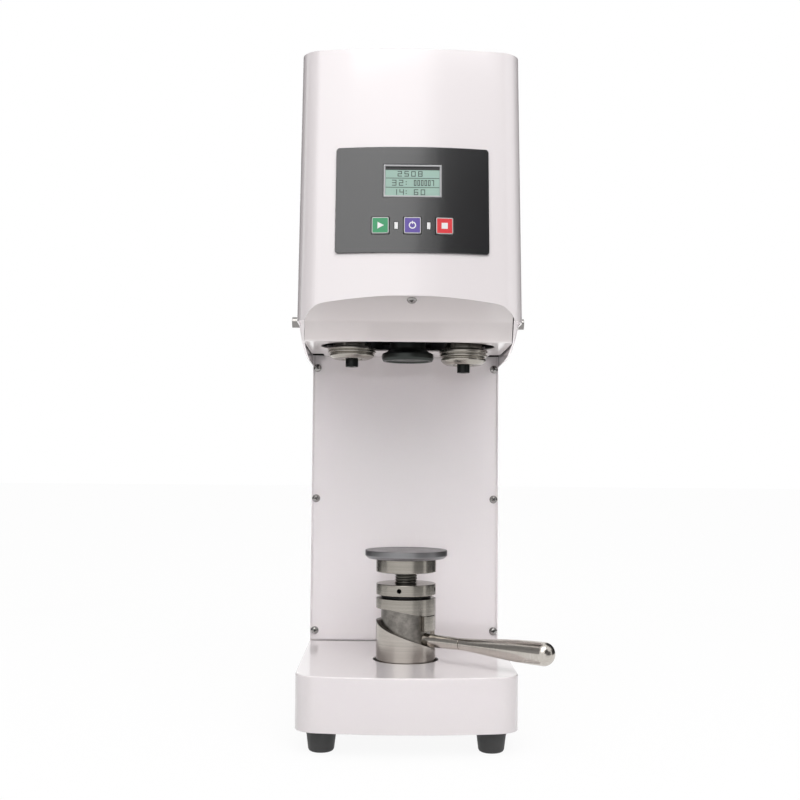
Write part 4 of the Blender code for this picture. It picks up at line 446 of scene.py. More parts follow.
class Recipe:
    """Nodes of one material."""

    def __init__(self, name, colour, metallic, roughness):
        self.material = bpy.data.materials.new(f"{name}_finish")
        self.material.use_nodes = True
        self.tree = self.material.node_tree
        self.shader = self.tree.nodes["Principled BSDF"]
        self.shader.inputs["Base Color"].default_value = (*colour, 1.0)
        self.shader.inputs["Metallic"].default_value = metallic
        self.shader.inputs["Roughness"].default_value = roughness
        self.colour = colour
        self.roughness = roughness

    def node(self, kind, **settings):
        """Add a node with its settings."""
        made = self.tree.nodes.new(kind)
        for key, value in settings.items():
            setattr(made, key, value)
        return made

    def link(self, source, target):
        """Join two sockets."""
        self.tree.links.new(source, target)

    def place(self, centre=(0, 0, 0), turn=(0, 0, 0), scale=(1, 1, 1)):
        """Object coordinates about a centre."""
        source = self.node("ShaderNodeTexCoord")
        mapping = self.node("ShaderNodeMapping", vector_type="TEXTURE")
        mapping.inputs["Location"].default_value = centre
        mapping.inputs["Rotation"].default_value = turn
        mapping.inputs["Scale"].default_value = scale
        self.link(source.outputs["Object"], mapping.inputs["Vector"])
        return mapping.outputs["Vector"]

    def noise(self, vector, scale, detail=2.0, roughness=0.5):
        """Noise value."""
        made = self.node("ShaderNodeTexNoise")
        made.inputs["Scale"].default_value = scale
        made.inputs["Detail"].default_value = detail
        made.inputs["Roughness"].default_value = roughness
        self.link(vector, made.inputs["Vector"])
        return made.outputs["Fac"]

    def spread(self, value, low, high):
        """Map the middle half of a noise value to a range."""
        made = self.node("ShaderNodeMapRange", interpolation_type="SMOOTHSTEP")
        made.inputs["From Min"].default_value = 0.25
        made.inputs["From Max"].default_value = 0.75
        made.inputs["To Min"].default_value = low
        made.inputs["To Max"].default_value = high
        self.link(value, made.inputs["Value"])
        return made.outputs["Result"]

    def lathe_marks(self, vector):
        """Coordinates that stay the same round the Z axis: radius and height."""
        split = self.node("ShaderNodeSeparateXYZ")
        self.link(vector, split.inputs["Vector"])
        flat = self.node("ShaderNodeCombineXYZ")
        self.link(split.outputs["X"], flat.inputs["X"])
        self.link(split.outputs["Y"], flat.inputs["Y"])
        radius = self.node("ShaderNodeVectorMath", operation="LENGTH")
        self.link(flat.outputs["Vector"], radius.inputs[0])
        ring = self.node("ShaderNodeCombineXYZ")
        self.link(radius.outputs["Value"], ring.inputs["X"])
        self.link(split.outputs["Z"], ring.inputs["Z"])
        return ring.outputs["Vector"]

    def vary_colour(self, value, low, high):
        """Darken and lighten the base colour by a noise value."""
        mix = self.node("ShaderNodeMix", data_type="RGBA")
        mix.inputs["A"].default_value = (*[channel * low for channel in self.colour], 1.0)
        mix.inputs["B"].default_value = (*[min(1.0, channel * high) for channel in self.colour], 1.0)
        self.link(self.spread(value, 0.0, 1.0), mix.inputs["Factor"])
        self.link(mix.outputs["Result"], self.shader.inputs["Base Color"])

    def vary_roughness(self, value, amount):
        """Let the roughness wander by a noise value."""
        low, high = max(0.02, self.roughness - amount), self.roughness + amount
        self.link(self.spread(value, low, high), self.shader.inputs["Roughness"])

    def bump(self, value, distance):
        """Raise the surface by a noise value."""
        made = self.node("ShaderNodeBump")
        made.inputs["Distance"].default_value = distance
        made.inputs["Strength"].default_value = 1.0
        self.link(value, made.inputs["Height"])
        self.link(made.outputs["Normal"], self.shader.inputs["Normal"])


def mix_paint(name, colour, roughness, coat):
    """Powder coat: a fine orange peel under a clear gloss."""
    recipe = Recipe(name, colour, 0.0, roughness)
    place = recipe.place()
    recipe.vary_colour(recipe.noise(place, 3.0, 1.0), 0.995, 1.002)
    recipe.vary_roughness(recipe.noise(place, 5.0, 1.0), 0.01)
    recipe.bump(recipe.noise(place, 260.0, 1.0), 0.000002)
    recipe.shader.inputs["Coat Weight"].default_value = coat
    recipe.shader.inputs["Coat Roughness"].default_value = 0.10


def mix_turned(name, colour, roughness, centre, turn=(0, 0, 0), marks=0.000012, metallic=1.0,
               smudge=0.06):
    """Lathe-turned metal: fine rings about an axis, and faint smudges."""
    recipe = Recipe(name, colour, metallic, roughness)
    place = recipe.place(centre, turn)
    rings = recipe.lathe_marks(place)
    recipe.vary_colour(recipe.noise(rings, 700.0, 4.0, 0.6), 0.90, 1.07)
    recipe.vary_roughness(recipe.noise(place, 90.0, 4.0), smudge)
    recipe.bump(recipe.noise(rings, 2400.0, 3.0, 0.6), marks)


def mix_scuffed_shaded(name, colour, roughness, centre):
    """Turned steel painted darker as shade for faces tucked under or inside other parts, with cloudy rub
    marks over the rings.
    """
    recipe = Recipe(name, colour, 1.0, roughness)
    place = recipe.place(centre)
    recipe.vary_colour(recipe.noise(place, 130.0, 5.0, 0.65), 0.68, 1.38)
    recipe.vary_roughness(recipe.noise(place, 80.0, 3.0), 0.05)
    recipe.bump(recipe.noise(recipe.lathe_marks(place), 1500.0, 3.0, 0.6), 0.00002)


def mix_paint_with_shade_above(name, colour, height):
    """Paint that turns almost black above a height: painted shade for the dark inside of the head."""
    recipe = Recipe(name, colour, 0.0, 0.32)
    place = recipe.place()
    split = recipe.node("ShaderNodeSeparateXYZ")
    recipe.link(place, split.inputs["Vector"])
    above = recipe.node("ShaderNodeMath", operation="GREATER_THAN")
    above.inputs[1].default_value = height
    recipe.link(split.outputs["Z"], above.inputs[0])
    mix = recipe.node("ShaderNodeMix", data_type="RGBA")
    mix.inputs["A"].default_value = (*colour, 1.0)
    mix.inputs["B"].default_value = (0.016, 0.016, 0.017, 1.0)
    recipe.link(above.outputs["Value"], mix.inputs["Factor"])
    recipe.link(mix.outputs["Result"], recipe.shader.inputs["Base Color"])
    recipe.vary_roughness(recipe.noise(place, 40.0, 3.0), 0.04)
    recipe.bump(recipe.noise(place, 620.0, 2.0), 0.00002)


def mix_grained(name, colour, metallic, roughness, grain, depth):
    """Cast, moulded or rubber surface with an even grain."""
    recipe = Recipe(name, colour, metallic, roughness)
    place = recipe.place()
    recipe.vary_colour(recipe.noise(place, 60.0, 3.0), 0.88, 1.10)
    recipe.vary_roughness(recipe.noise(place, 150.0, 3.0), 0.05)
    recipe.bump(recipe.noise(place, grain, 3.0), depth)


def mix_brushed(name, colour, roughness, scale):
    """Plate steel brushed along one way."""
    recipe = Recipe(name, colour, 1.0, roughness)
    streaks = recipe.noise(recipe.place(scale=scale), 60.0, 4.0, 0.6)
    recipe.vary_colour(streaks, 0.88, 1.08)
    recipe.vary_roughness(recipe.noise(recipe.place(), 70.0, 3.0), 0.06)
    recipe.bump(streaks, 0.00001)


def mix_film(name, colour, roughness, coat):
    """Plastic film or key: a fine matt grain under a thin gloss."""
    recipe = Recipe(name, colour, 0.0, roughness)
    place = recipe.place()
    recipe.vary_colour(recipe.noise(place, 25.0, 2.0), 0.94, 1.06)
    recipe.bump(recipe.noise(place, 2600.0, 2.0), 0.000012)
    recipe.shader.inputs["Coat Weight"].default_value = coat
    recipe.shader.inputs["Coat Roughness"].default_value = 0.12


class SealerFinishes(bpy.types.Operator):
    """Mix every finish of the machine"""

    bl_idname = "sealer.finishes"
    bl_label = "Finishes"

    # Height in the head above which the column frame is painted almost black as shade
    shade_height = 0.3765

    def execute(self, context):
        look = context.scene.sealer_finish
        mix_paint("white_paint", look.paint, 0.30, 0.9)
        # Darker copy of the outside paint for the under cover: painted shade.
        mix_paint("under_paint_shaded", look.inner_paint_shaded, 0.32, 1.0)
        mix_turned("lift_steel", look.turned, 0.235, SPINDLE, smudge=0.03)
        # Same turned steel as the lift, its colour painted lighter: painted light on the fixed sleeve.
        mix_turned("lighter_ramp_steel", (0.49, 0.455, 0.415), 0.235, SPINDLE, marks=0.000008, smudge=0.03)
        mix_turned("plate_steel", (0.27, 0.268, 0.275), 0.35, SPINDLE, marks=0.00002)
        # Painted shade with rub marks, for faces under the sleeves' ledges and inside the ramp sleeve's bore.
        mix_scuffed_shaded("scuffed_shaded_steel", look.scuffed_shaded, 0.34, SPINDLE)
        # Column frame: painted almost black above a height, as shade inside the head.
        mix_paint_with_shade_above("frame_paint_shaded_above", look.paint, self.shade_height)
        mix_turned("rod_steel", (0.30, 0.29, 0.27), 0.35, SPINDLE, marks=0.000002)
        # Black of the thrust washer; the same black is painted shade in the screws' recesses and rims, the
        # nut's drilled holes and the thread's grooves.
        mix_turned("washer_black_and_shade", (0.012, 0.012, 0.012), 0.45, SPINDLE, metallic=0.5)
        mix_turned("chuck_black", (0.052, 0.058, 0.054), 0.34, SPINDLE, metallic=0.85)
        for side in ("left", "right"):
            centre = turned_box(f"{side}_roller")[0]
            mix_turned(f"{side}_roller_steel", look.roller, 0.24, centre, smudge=0.03)
            mix_turned(f"{side}_bolt_black", (0.020, 0.022, 0.021), 0.30, centre, metallic=0.8)
        lever_low, lever_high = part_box("lever_shank")
        heading = math.atan2(lever_low.y - lever_high.y, lever_high.x - lever_low.x)
        centre = Vector((SPINDLE.x, SPINDLE.y, (lever_low.z + lever_high.z) / 2))
        mix_turned("lever_steel", look.steel, 0.21, centre, turn=(0, math.pi / 2, heading), marks=0.000006,
                   smudge=0.03)
        mix_brushed("screw_steel", (0.37, 0.36, 0.35), 0.14, (1.0, 0.2, 1.0))
        mix_brushed("bolt_steel", (0.30, 0.29, 0.28), 0.20, (1.0, 1.0, 0.2))
        mix_brushed("dark_steel", (0.16, 0.16, 0.165), 0.42, (0.1, 1.0, 1.0))
        mix_brushed("bright_steel", (0.50, 0.49, 0.48), 0.25, (1.0, 1.0, 0.1))
        mix_brushed("aluminium", (0.62, 0.62, 0.63), 0.32, (1.0, 1.0, 0.1))
        mix_grained("grey_casting", (0.10, 0.10, 0.105), 0.35, 0.50, 900.0, 0.00005)
        mix_grained("foot_rubber", (0.045, 0.045, 0.045), 0.0, 0.55, 1500.0, 0.00004)
        mix_grained("belt_rubber", (0.018, 0.018, 0.018), 0.0, 0.75, 1200.0, 0.00004)
        # Black plastic of the inlet and switch; the same black is the painted shadow band on the display.
        mix_grained("black_plastic", (0.014, 0.014, 0.014), 0.0, 0.42, 1800.0, 0.00003)
        mix_grained("circuit_board", (0.015, 0.13, 0.05), 0.0, 0.45, 700.0, 0.00002)
        mix_film("panel_film", look.film, 0.25, 0.9)
        mix_film("start_green", look.start, 0.36, 0.25)
        mix_film("mode_purple", look.mode, 0.36, 0.25)
        mix_film("stop_red", look.stop, 0.36, 0.25)
        mix_film("key_rim", (0.50, 0.50, 0.50), 0.35, 0.2)
        mix_film("mark_white", (0.82, 0.82, 0.82), 0.40, 0.1)
        mix_film("screen_green", look.screen, 0.20, 0.6)
        mix_film("screen_dark", (0.045, 0.075, 0.062), 0.25, 0.5)
        mix_film("bezel_silver", (0.42, 0.42, 0.43), 0.30, 0.3)
        return {"FINISHED"}


class SealerHeadShell(bpy.types.Operator):
    """Make the bowed, leaning shell of the head"""

    bl_idname = "sealer.head_shell"
    bl_label = "Head shell"

    # Half the width and height of the hole behind the control panel
    window = (0.050, 0.034)

    def execute(self, context):
        shape = context.scene.sealer_shape
        low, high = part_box("head_shell")
        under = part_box("under_cover")[0].z
        half = (high.x - low.x) / 2
        reach = SPINDLE.y - low.y
        back = high.y - SPINDLE.y
        pivot = under + shape.mouth_rise
        bm = bmesh.new()
        body_outline(bm, shape.bow, shape.corner, half, reach, 0.0, back, low.z - TRIM)
        raise_edges(bm, bm.edges[:], high.z - low.z + TRIM)
        lean_back(bm, shape, pivot, back)
        rear = max(bm.faces, key=lambda face: abs(face.calc_center_median().x))
        bmesh.ops.recalc_face_normals(bm, faces=bm.faces)
        if rear.normal.x * rear.calc_center_median().x < 0:
            bmesh.ops.reverse_faces(bm, faces=bm.faces)
        shell = thicken(bm, shape.sheet)

        bottom = low.z
        ahead = -reach - TRIM
        below = bottom - 2 * TRIM
        profile = [(ahead, mouth_height(shape, ahead)), *side_curve(shape), (back + TRIM, bottom),
                   (back + TRIM, below), (ahead, below)]
        mouth = moved(prism(profile, -half - TRIM, half + TRIM), FROM_SIDE)
        side = [(half - inset, under + rise) for inset, rise in MOUTH_ARCH]
        side = [side[0], *rounded_path(side[1:])]
        outline = [(side[0][0], below - TRIM), *side, *[(-x, z) for x, z in reversed(side)],
                   (-side[0][0], below - TRIM)]
        arch = moved(prism(outline, -back - 2 * TRIM, reach + 3 * TRIM), FROM_FRONT)
        mouth = carve(mouth, arch, operation="INTERSECT")
        half_wide, half_tall = self.window
        window = block((-half_wide, -half_tall, -TRIM), (half_wide, half_tall, TRIM))
        shell = carve(shell, mouth, moved(window, panel_frame(shape)))
        soften(shell, shape.sheet * 0.3, 2, 50.0)
        shell = joined(shell, self.hem(shape, half, reach, pivot))
        moved(shell, Matrix.Translation(SPINDLE))
        finished("head_shell_skin", shell, ["white_paint"], "base", ["head_shell"], 50.0)
        return {"FINISHED"}

    def hem(self, shape, half, reach, pivot):
        """Flange folded inwards along the mouth, widest at the front corners."""
        rear = shape.side_curve_end - 0.002
        path = [(-reach - TRIM, mouth_height(shape, -reach - TRIM)), *side_curve(shape)]
        hem = swept_sheet(path, half, shape.sheet)
        inside = outline_prism(shape.bow, shape.corner, half, reach, shape.sheet * 0.6, rear,
                               pivot - 3 * TRIM, pivot + TRIM)
        lean_back(inside, shape, pivot, rear)
        hem = carve(hem, inside, operation="INTERSECT")
        opening = mouth_opening(shape, half, reach, 0.0, pivot)
        hem = carve(hem, opening)
        return soften(hem, shape.sheet * 0.3, 2, 50.0)


def mouth_opening(shape, half, reach, gap, pivot):
    """Closed solid that fills the mouth inside its hem, wider behind its corners."""
    flare = (half - 0.0022 - gap, -0.034)
    return outline_prism(shape.mouth_bow, shape.mouth_corner, half - shape.hem, reach, gap,
                         2 * TRIM + 0.12, pivot - 4 * TRIM, pivot + 2 * TRIM, flare)


class SealerTopCover(bpy.types.Operator):
    """Make the lid that closes the head"""

    bl_idname = "sealer.top_cover"
    bl_label = "Top cover"

    def execute(self, context):
        shape = context.scene.sealer_shape
        low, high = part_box("top_cover")
        head_low, head_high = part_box("head_shell")
        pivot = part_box("under_cover")[0].z + shape.mouth_rise
        half = (head_high.x - head_low.x) / 2
        inset = half - (high.x - low.x) / 2
        back = high.y - SPINDLE.y
        bm = filled_outline(shape.bow, shape.corner, half, SPINDLE.y - head_low.y, inset, back, high.z)
        raise_edges(bm, bm.edges[:], low.z - high.z)
        lean_back(bm, shape, pivot, back)
        turn_top_up(bm)
        thicken(bm, shape.sheet)
        soften(bm, shape.sheet * 0.4, 3, 50.0)
        moved(bm, Matrix.Translation(SPINDLE))
        finished("top_cover_skin", bm, ["white_paint"], "base", ["top_cover"], 50.0)
        return {"FINISHED"}


class SealerUnderCover(bpy.types.Operator):
    """Make the folded cover under the head with its oval opening"""

    bl_idname = "sealer.under_cover"
    bl_label = "Under cover"

    def execute(self, context):
        shape = context.scene.sealer_shape
        low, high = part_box("under_cover")
        head_low, head_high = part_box("head_shell")
        half_head = (head_high.x - head_low.x) / 2
        reach = SPINDLE.y - head_low.y
        half = (high.x - low.x) / 2
        rear = high.y - SPINDLE.y
        under = low.z
        pivot = under + shape.mouth_rise
        start = -reach - TRIM
        path = [(start, mouth_height(shape, start)), (shape.front_fold, under + shape.fold_rise),
                (shape.rear_fold, under), (rear, under)]
        cover = swept_sheet(path, half, shape.sheet, shape.fold)
        inside = outline_prism(shape.bow, shape.corner, half_head, reach, shape.sheet + 0.0003,
                               rear + TRIM, under - TRIM, pivot + TRIM)
        lean_back(inside, shape, pivot, rear + TRIM)
        opening = mouth_opening(shape, half_head, reach, 0.0006, pivot)
        moved(opening, Matrix.Translation((-0.0004, 0, 0)))
        cover = carve(cover, inside, opening, operation="INTERSECT")

        ends = shape.opening_length - shape.opening_depth
        oval = block((-ends, -shape.opening_depth, under - TRIM), (ends, shape.opening_depth, under + TRIM))
        rounds = [moved(drum(shape.opening_depth, under - TRIM, under + TRIM, LARGE_STEPS),
                        Matrix.Translation((x, 0, 0))) for x in (-ends, ends)]
        notches = [block((x - shape.notch_width, rear - shape.notch_depth, under - TRIM),
                         (x + shape.notch_width, rear + TRIM, under + TRIM)) for x in (-half, half)]
        cover = carve(cover, oval, *rounds, *notches)
        soften(cover, shape.sheet * 0.3, 2, 55.0)
        moved(cover, Matrix.Translation(SPINDLE))
        finished("under_cover_skin", cover, ["under_paint_shaded"], "base", ["under_cover"], 50.0)
        return {"FINISHED"}


class SealerBaseCover(bpy.types.Operator):
    """Make the painted cover of the base"""

    bl_idname = "sealer.base_cover"
    bl_label = "Base cover"

    # Thickness of the base's sheet metal, and radius of the hole round the lift
    sheet = 0.0015
    hole = 0.0318

    def execute(self, context):
        shape = context.scene.sealer_shape
        low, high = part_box("base_cover")
        half = (high.x - low.x) / 2
        back = high.y - SPINDLE.y
        bm = filled_outline(shape.bow, shape.corner, half, SPINDLE.y - low.y, 0.0, back, high.z)
        rim = [edge for edge in bm.edges if any(vert.co.y < back - 0.0001 for vert in edge.verts)]
        raise_edges(bm, rim, low.z - high.z)
        turn_top_up(bm)
        round_edges(bm, rim, shape.cover_rim, 5)
        cover = thicken(bm, self.sheet)
        hole = drum(self.hole, high.z - TRIM, high.z + TRIM, LARGE_STEPS)
        cover = carve(cover, hole)
        soften(cover, 0.0004, 2, 60.0)
        moved(cover, Matrix.Translation(SPINDLE))
        finished("base_cover_skin", cover, ["white_paint"], "base", ["base_cover"], 50.0)
        return {"FINISHED"}


class SealerColumn(bpy.types.Operator):
    """Make the column's front cover and its screws"""

    bl_idname = "sealer.column"
    bl_label = "Column cover"

    def execute(self, context):
        low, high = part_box("column_front_cover")
        wide, foot = 0.0125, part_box("under_cover")[0].z + 0.0015
        notches = [block((x - wide, low.y - TRIM, foot), (x + wide, high.y + TRIM, high.z + TRIM))
                   for x in (low.x, high.x)]
        cover = soften(carve(block(low, high), *notches), 0.0004, 2)
        finished("column_front_skin", cover, ["white_paint"], "base", ["column_front_cover"])
        for number in range(1, 7):
            self.screw(number)
        return {"FINISHED"}

    def screw(self, number):
        """Pan-head screw with a cross recess."""
        node = f"cover_screw_{number}"
        low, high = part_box(node)
        radius = (high.x - low.x) / 2
        head = 0.0026
        profile = [(0, head), (radius * 0.45, head * 0.93), (radius * 0.80, head * 0.66), (radius, 0.0002),
                   (radius, 0), (0.002, 0), (0.002, -0.0060), (0, -0.0062)]
        bm = soften(lathe(profile, SMALL_STEPS), 0.0002, 2, 50.0)
        arm, slot = radius * 0.45, 0.00045
        bars = [block((-x, -y, head * 0.35), (x, y, head + 0.002)) for x, y in ((arm, slot), (slot, arm))]
        bm = carve(bm, *bars)
        # Cross recess and the head's outer rim get the black finish: painted shade in the recess and a
        # painted shadow round the rim.
        for item in bm.faces:
            spot = item.calc_center_median()
            away = math.hypot(spot.x, spot.y)
            recess = away < radius * 0.5 and spot.z > 0 and (abs(item.normal.z) < 0.5 or spot.z < head * 0.4)
            item.material_index = 1 if recess or away > radius * 0.90 else 0
        centre = Vector(((low.x + high.x) / 2, low.y + head, (low.z + high.z) / 2))
        turn = Matrix.Rotation(math.radians(17.0 * (number - 2)), 4, "Z")
        moved(bm, Matrix.Translation(centre) @ Matrix.Rotation(math.pi / 2, 4, "X") @ turn)
        finished(f"{node}_head", bm, ["screw_steel", "washer_black_and_shade"], "base", [node])


def mouth_height(shape, y):
    """Height of the head's front lip plane at a depth."""
    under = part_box("under_cover")[0].z
    reach = SPINDLE.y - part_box("head_shell")[0].y
    slope = (shape.fold_rise - shape.mouth_rise) / (shape.front_fold + reach)
    return under + shape.mouth_rise + slope * (y + reach)


def side_curve(shape):
    """Lower edge of the head's side walls behind the front fold."""
    under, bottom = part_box("under_cover")[0].z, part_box("head_shell")[0].z
    controls = (Vector((shape.front_fold, under + shape.fold_rise)),
                Vector((-0.050, under + (under - bottom) * 0.55)), Vector((-0.010, bottom)),
                Vector((shape.side_curve_end, bottom)))
    curve = []
    for i in range(25):
        t = i / 24
        weights = ((1 - t) ** 3, 3 * t * (1 - t) ** 2, 3 * t * t * (1 - t), t ** 3)
        curve.append(tuple(sum((w * c for w, c in zip(weights, controls)), Vector((0, 0)))))
    return curve


def panel_frame(shape):
    """Frame of the control panel: X across, Y up the leaning face, Z out of it."""
    under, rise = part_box("under_cover")[0].z, 0.1228
    reach = SPINDLE.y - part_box("head_shell")[0].y
    centre = Vector((PANEL_SHIFT, math.tan(shape.lean) * (rise - shape.mouth_rise) - reach, under + rise))
    return Matrix.Translation(centre) @ Matrix.Rotation(math.pi / 2 - shape.lean, 4, "X")


class SealerHeadBolts(bpy.types.Operator):
    """Make the head's side bolts and finish the screw under its lip"""

    bl_idname = "sealer.head_bolts"
    bl_label = "Head bolts"

    def execute(self, context):
        for name, side in (("side_bolt_left", -1), ("side_bolt_right", 1)):
            low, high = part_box(name)
            radius = (high.z - low.z) / 2
            tip = (abs(low.x - SPINDLE.x) if side < 0 else high.x - SPINDLE.x) - HEAD_HALF
            tail = (high.x - low.x) - tip
            neck = 0.0036
            profile = [(0, tip - 0.0012), (0.0026, tip - 0.0012), (0.0030, tip), (radius, tip),
                       (radius, neck), (0.0035, neck), (0.0035, 0.0003), (0.003, 0.0003), (0.003, -tail),
                       (0, -tail)]
            bm = soften(lathe(profile, SMALL_STEPS * 2), 0.0007, 3)
            centre = Vector((SPINDLE.x + side * HEAD_HALF, (low.y + high.y) / 2, (low.z + high.z) / 2))
            moved(bm, Matrix.Translation(centre) @ Matrix.Rotation(side * math.pi / 2, 4, "Y"))
            finished(f"{name}_head", bm, ["bolt_steel"], "base", [name])
        kept("screw_steel", "under_cover_screw")
        return {"FINISHED"}


class SealerPanel(bpy.types.Operator):
    """Make the control panel's film, display, keys and indicators"""

    bl_idname = "sealer.panel"
    bl_label = "Control panel"

    # Places across the panel, on one row: each key with its colour, and each indicator bar
    key_places = (("start", -0.0288, "start_green"), ("mode", 0.0, "mode_purple"),
                  ("stop", 0.0288, "stop_red"))
    bar_places = (("indicator_left", -0.0146), ("indicator_right", 0.0146))
    row = -0.0251

    # Half the width of a key, and half the width and height of a bar
    key_half = 0.00775
    bar_half = (0.0016, 0.0032)

    # Foot and top of the display's marks
    mark_low = -0.0003
    mark_high = -0.00008

    def execute(self, context):
        shape = context.scene.sealer_shape
        self.bow = (HEAD_HALF ** 2 + shape.bow ** 2) / (2 * shape.bow)
        self.lean = shape.lean
        self.frame = Matrix.Translation(SPINDLE) @ panel_frame(shape)
        self.film()
        self.display()
        self.keys()
        self.indicators()
        return {"FINISHED"}

    def depth(self, x):
        """How far the bowed face lies behind its middle."""
        return -(self.bow - math.sqrt(self.bow ** 2 - (x + PANEL_SHIFT) ** 2)) * math.cos(self.lean)

    def bend(self, bm):
        """Bend flat work onto the bowed face."""
        for vert in bm.verts:
            vert.co.z += self.depth(vert.co.x)
        return bm

    def plate(self, corners, low, high, radius, cuts=24):
        """Rounded plate, cut across so that it can bend."""
        x0, y0, x1, y1 = corners
        bm = block((x0, y0, low), (x1, y1, high))
        uprights = [edge for edge in bm.edges
                    if abs(edge.verts[0].co.z - edge.verts[1].co.z) > (high - low) / 2]
        round_edges(bm, uprights, radius, 5)
        for i in range(1, cuts):
            x = x0 + (x1 - x0) * i / cuts
            bmesh.ops.bisect_plane(bm, geom=bm.verts[:] + bm.edges[:] + bm.faces[:], plane_co=(x, 0, 0),
                                   plane_no=(1, 0, 0))
        return bm

    def hole(self, x, y, half_w, half_h, radius):
        """Cutter for a rounded hole in the film."""
        return self.plate((x - half_w, y - half_h, x + half_w, y + half_h), -TRIM, TRIM, radius, 2)

    def film(self):
        """Dark film with holes for the display, the keys and the indicator bars."""
        half_w, half_h, face, gap = 0.0695, 0.05015, 0.0018, 0.0003
        bm = self.plate((-half_w, -half_h, half_w, half_h), 0.0003, face, 0.003)
        holes = [self.hole(0.0, 0.0176, 0.0266, 0.0158, gap)]
        key_hole = self.key_half + 0.0005
        for _, x, _ in self.key_places:
            holes.append(self.hole(x, self.row, key_hole, key_hole, 0.0012))
        for _, x in self.bar_places:
            holes.append(self.hole(x, self.row, self.bar_half[0] + gap, self.bar_half[1] + gap, gap))
        bm = carve(bm, *holes)
        soften(bm, 0.0003, 2, 60.0)
        self.bend(bm)
        moved(bm, self.frame)
        finished("panel_film", bm, ["panel_film"], "base", ["control_panel"], 50.0)

    def display(self):
        """Screen behind its bezel, with its rows of plain digits and bars, and a black band under the bezel's
        top that is the bezel's painted shadow.
        """
        half_w, low_y, high_y = 0.0263, 0.0021, 0.0331
        back = -0.0138
        bezel = block((-half_w, low_y, back), (half_w, high_y, 0.0013))
        rim = 0.0016
        window = block((rim - half_w, low_y + rim, -0.0002), (half_w - rim, high_y - rim, 0.01))
        bezel = soften(carve(bezel, window), 0.0003, 2)
        for face in bezel.faces:
            centre = face.calc_center_median()
            face.material_index = 1 if abs(centre.z + 0.0002) < 0.0002 and face.normal.z > 0.5 else 0
        # First mark: black band under the bezel's top edge, a painted shadow of the bezel.
        marks = [block((0.0017 - half_w, high_y - 0.0046, self.mark_low),
                       (half_w - 0.0017, high_y - 0.0017, -0.00005))]
        for y in (0.0203, 0.0115):
            marks.append(self.mark(0.002 - half_w, y, half_w - 0.002, y + 0.0006))
        rows = (("2508", -0.0136, 0.0222, 0.0062, 0.0040, 0.0052),
                ("32", -0.0186, 0.0134, 0.0062, 0.0040, 0.0056),
                ("000007", 0.0012, 0.0134, 0.0032, 0.0023, 0.0056),
                ("14", -0.0180, 0.0046, 0.0062, 0.0040, 0.0054),
                ("60", 0.0012, 0.0046, 0.0062, 0.0040, 0.0054))
        for figures, left, foot, advance, width, tall in rows:
            for index, figure in enumerate(figures):
                marks += self.digit(figure, left + index * advance, foot, width, tall)
        for y in (0.0144, 0.0168, 0.0056, 0.0080):
            marks.append(self.mark(-0.0062, y, -0.0053, y + 0.0009))
        # The painted shadow band gets the black finish, the digits and bars the dark screen finish.
        for index, mark in enumerate(marks):
            for face in mark.faces:
                face.material_index = 3 if index == 0 else 2
        bm = joined(bezel, *marks)
        moved(bm, self.frame)
        finishes = ["bezel_silver", "screen_green", "screen_dark", "black_plastic"]
        finished("display_screen", bm, finishes, "base", ["display"])

    def mark(self, x0, y0, x1, y1):
        """Dark mark on the screen."""
        return block((x0, y0, self.mark_low), (x1, y1, self.mark_high))

    def digit(self, figure, x, y, width, height):
        """Seven-segment figure."""
        bar = 0.00075
        middle = y + height / 2
        right, top = x + width, y + height
        segments = {
            "a": (x, top - bar, right, top), "b": (right - bar, middle, right, top),
            "c": (right - bar, y, right, middle), "d": (x, y, right, y + bar), "e": (x, y, x + bar, middle),
            "f": (x, middle, x + bar, top), "g": (x, middle - bar / 2, right, middle + bar / 2),
        }
        lit = {"0": "abcdef", "1": "bc", "2": "abged", "3": "abgcd", "4": "fgbc", "5": "afgcd", "6": "afgedc",
               "7": "abc", "8": "abcdefg"}[figure]
        return [self.mark(*segments[letter]) for letter in lit]

    def keys(self):
        """Three keys with a light rim and a plain pictogram each."""
        for name, x, colour in self.key_places:
            yaw = math.asin((x + PANEL_SHIFT) / self.bow)
            place = (self.frame @ Matrix.Translation((x, self.row, self.depth(x)))
                     @ Matrix.Rotation(yaw, 4, "Y"))
            half, top, deep = self.key_half, 0.0028, 0.0108
            cap = block((-half, -half, top - deep), (half, half, top))
            uprights = [edge for edge in cap.edges if abs(edge.verts[0].co.z - edge.verts[1].co.z) > deep / 2]
            round_edges(cap, uprights, 0.0014, 4)
            face = max(cap.faces, key=lambda item: item.calc_center_median().z)
            bmesh.ops.inset_region(cap, faces=[face], thickness=0.0009, depth=0.0)
            face.material_index = 1
            inner = face.edges[:]
            rest = [edge for edge in cap.edges if edge not in inner
                    and all(vert.co.z > top - 0.0001 for vert in edge.verts)
                    and abs(max(abs(c) for c in (edge.verts[0].co + edge.verts[1].co) / 2) - half) < 0.0014]
            outer = [edge for edge in rest if len(edge.link_faces) == 2 and edge.calc_face_angle(0.0) > 1.0]
            round_edges(cap, outer, 0.0005, 3)
            marks = self.pictogram(name, top)
            for mark in marks:
                for item in mark.faces:
                    item.material_index = 2
            bm = joined(cap, *marks)
            moved(bm, place)
            node = f"key_{name}"
            finished(f"{name}_key_cap", bm, ["key_rim", colour, "mark_white"], node, [node])

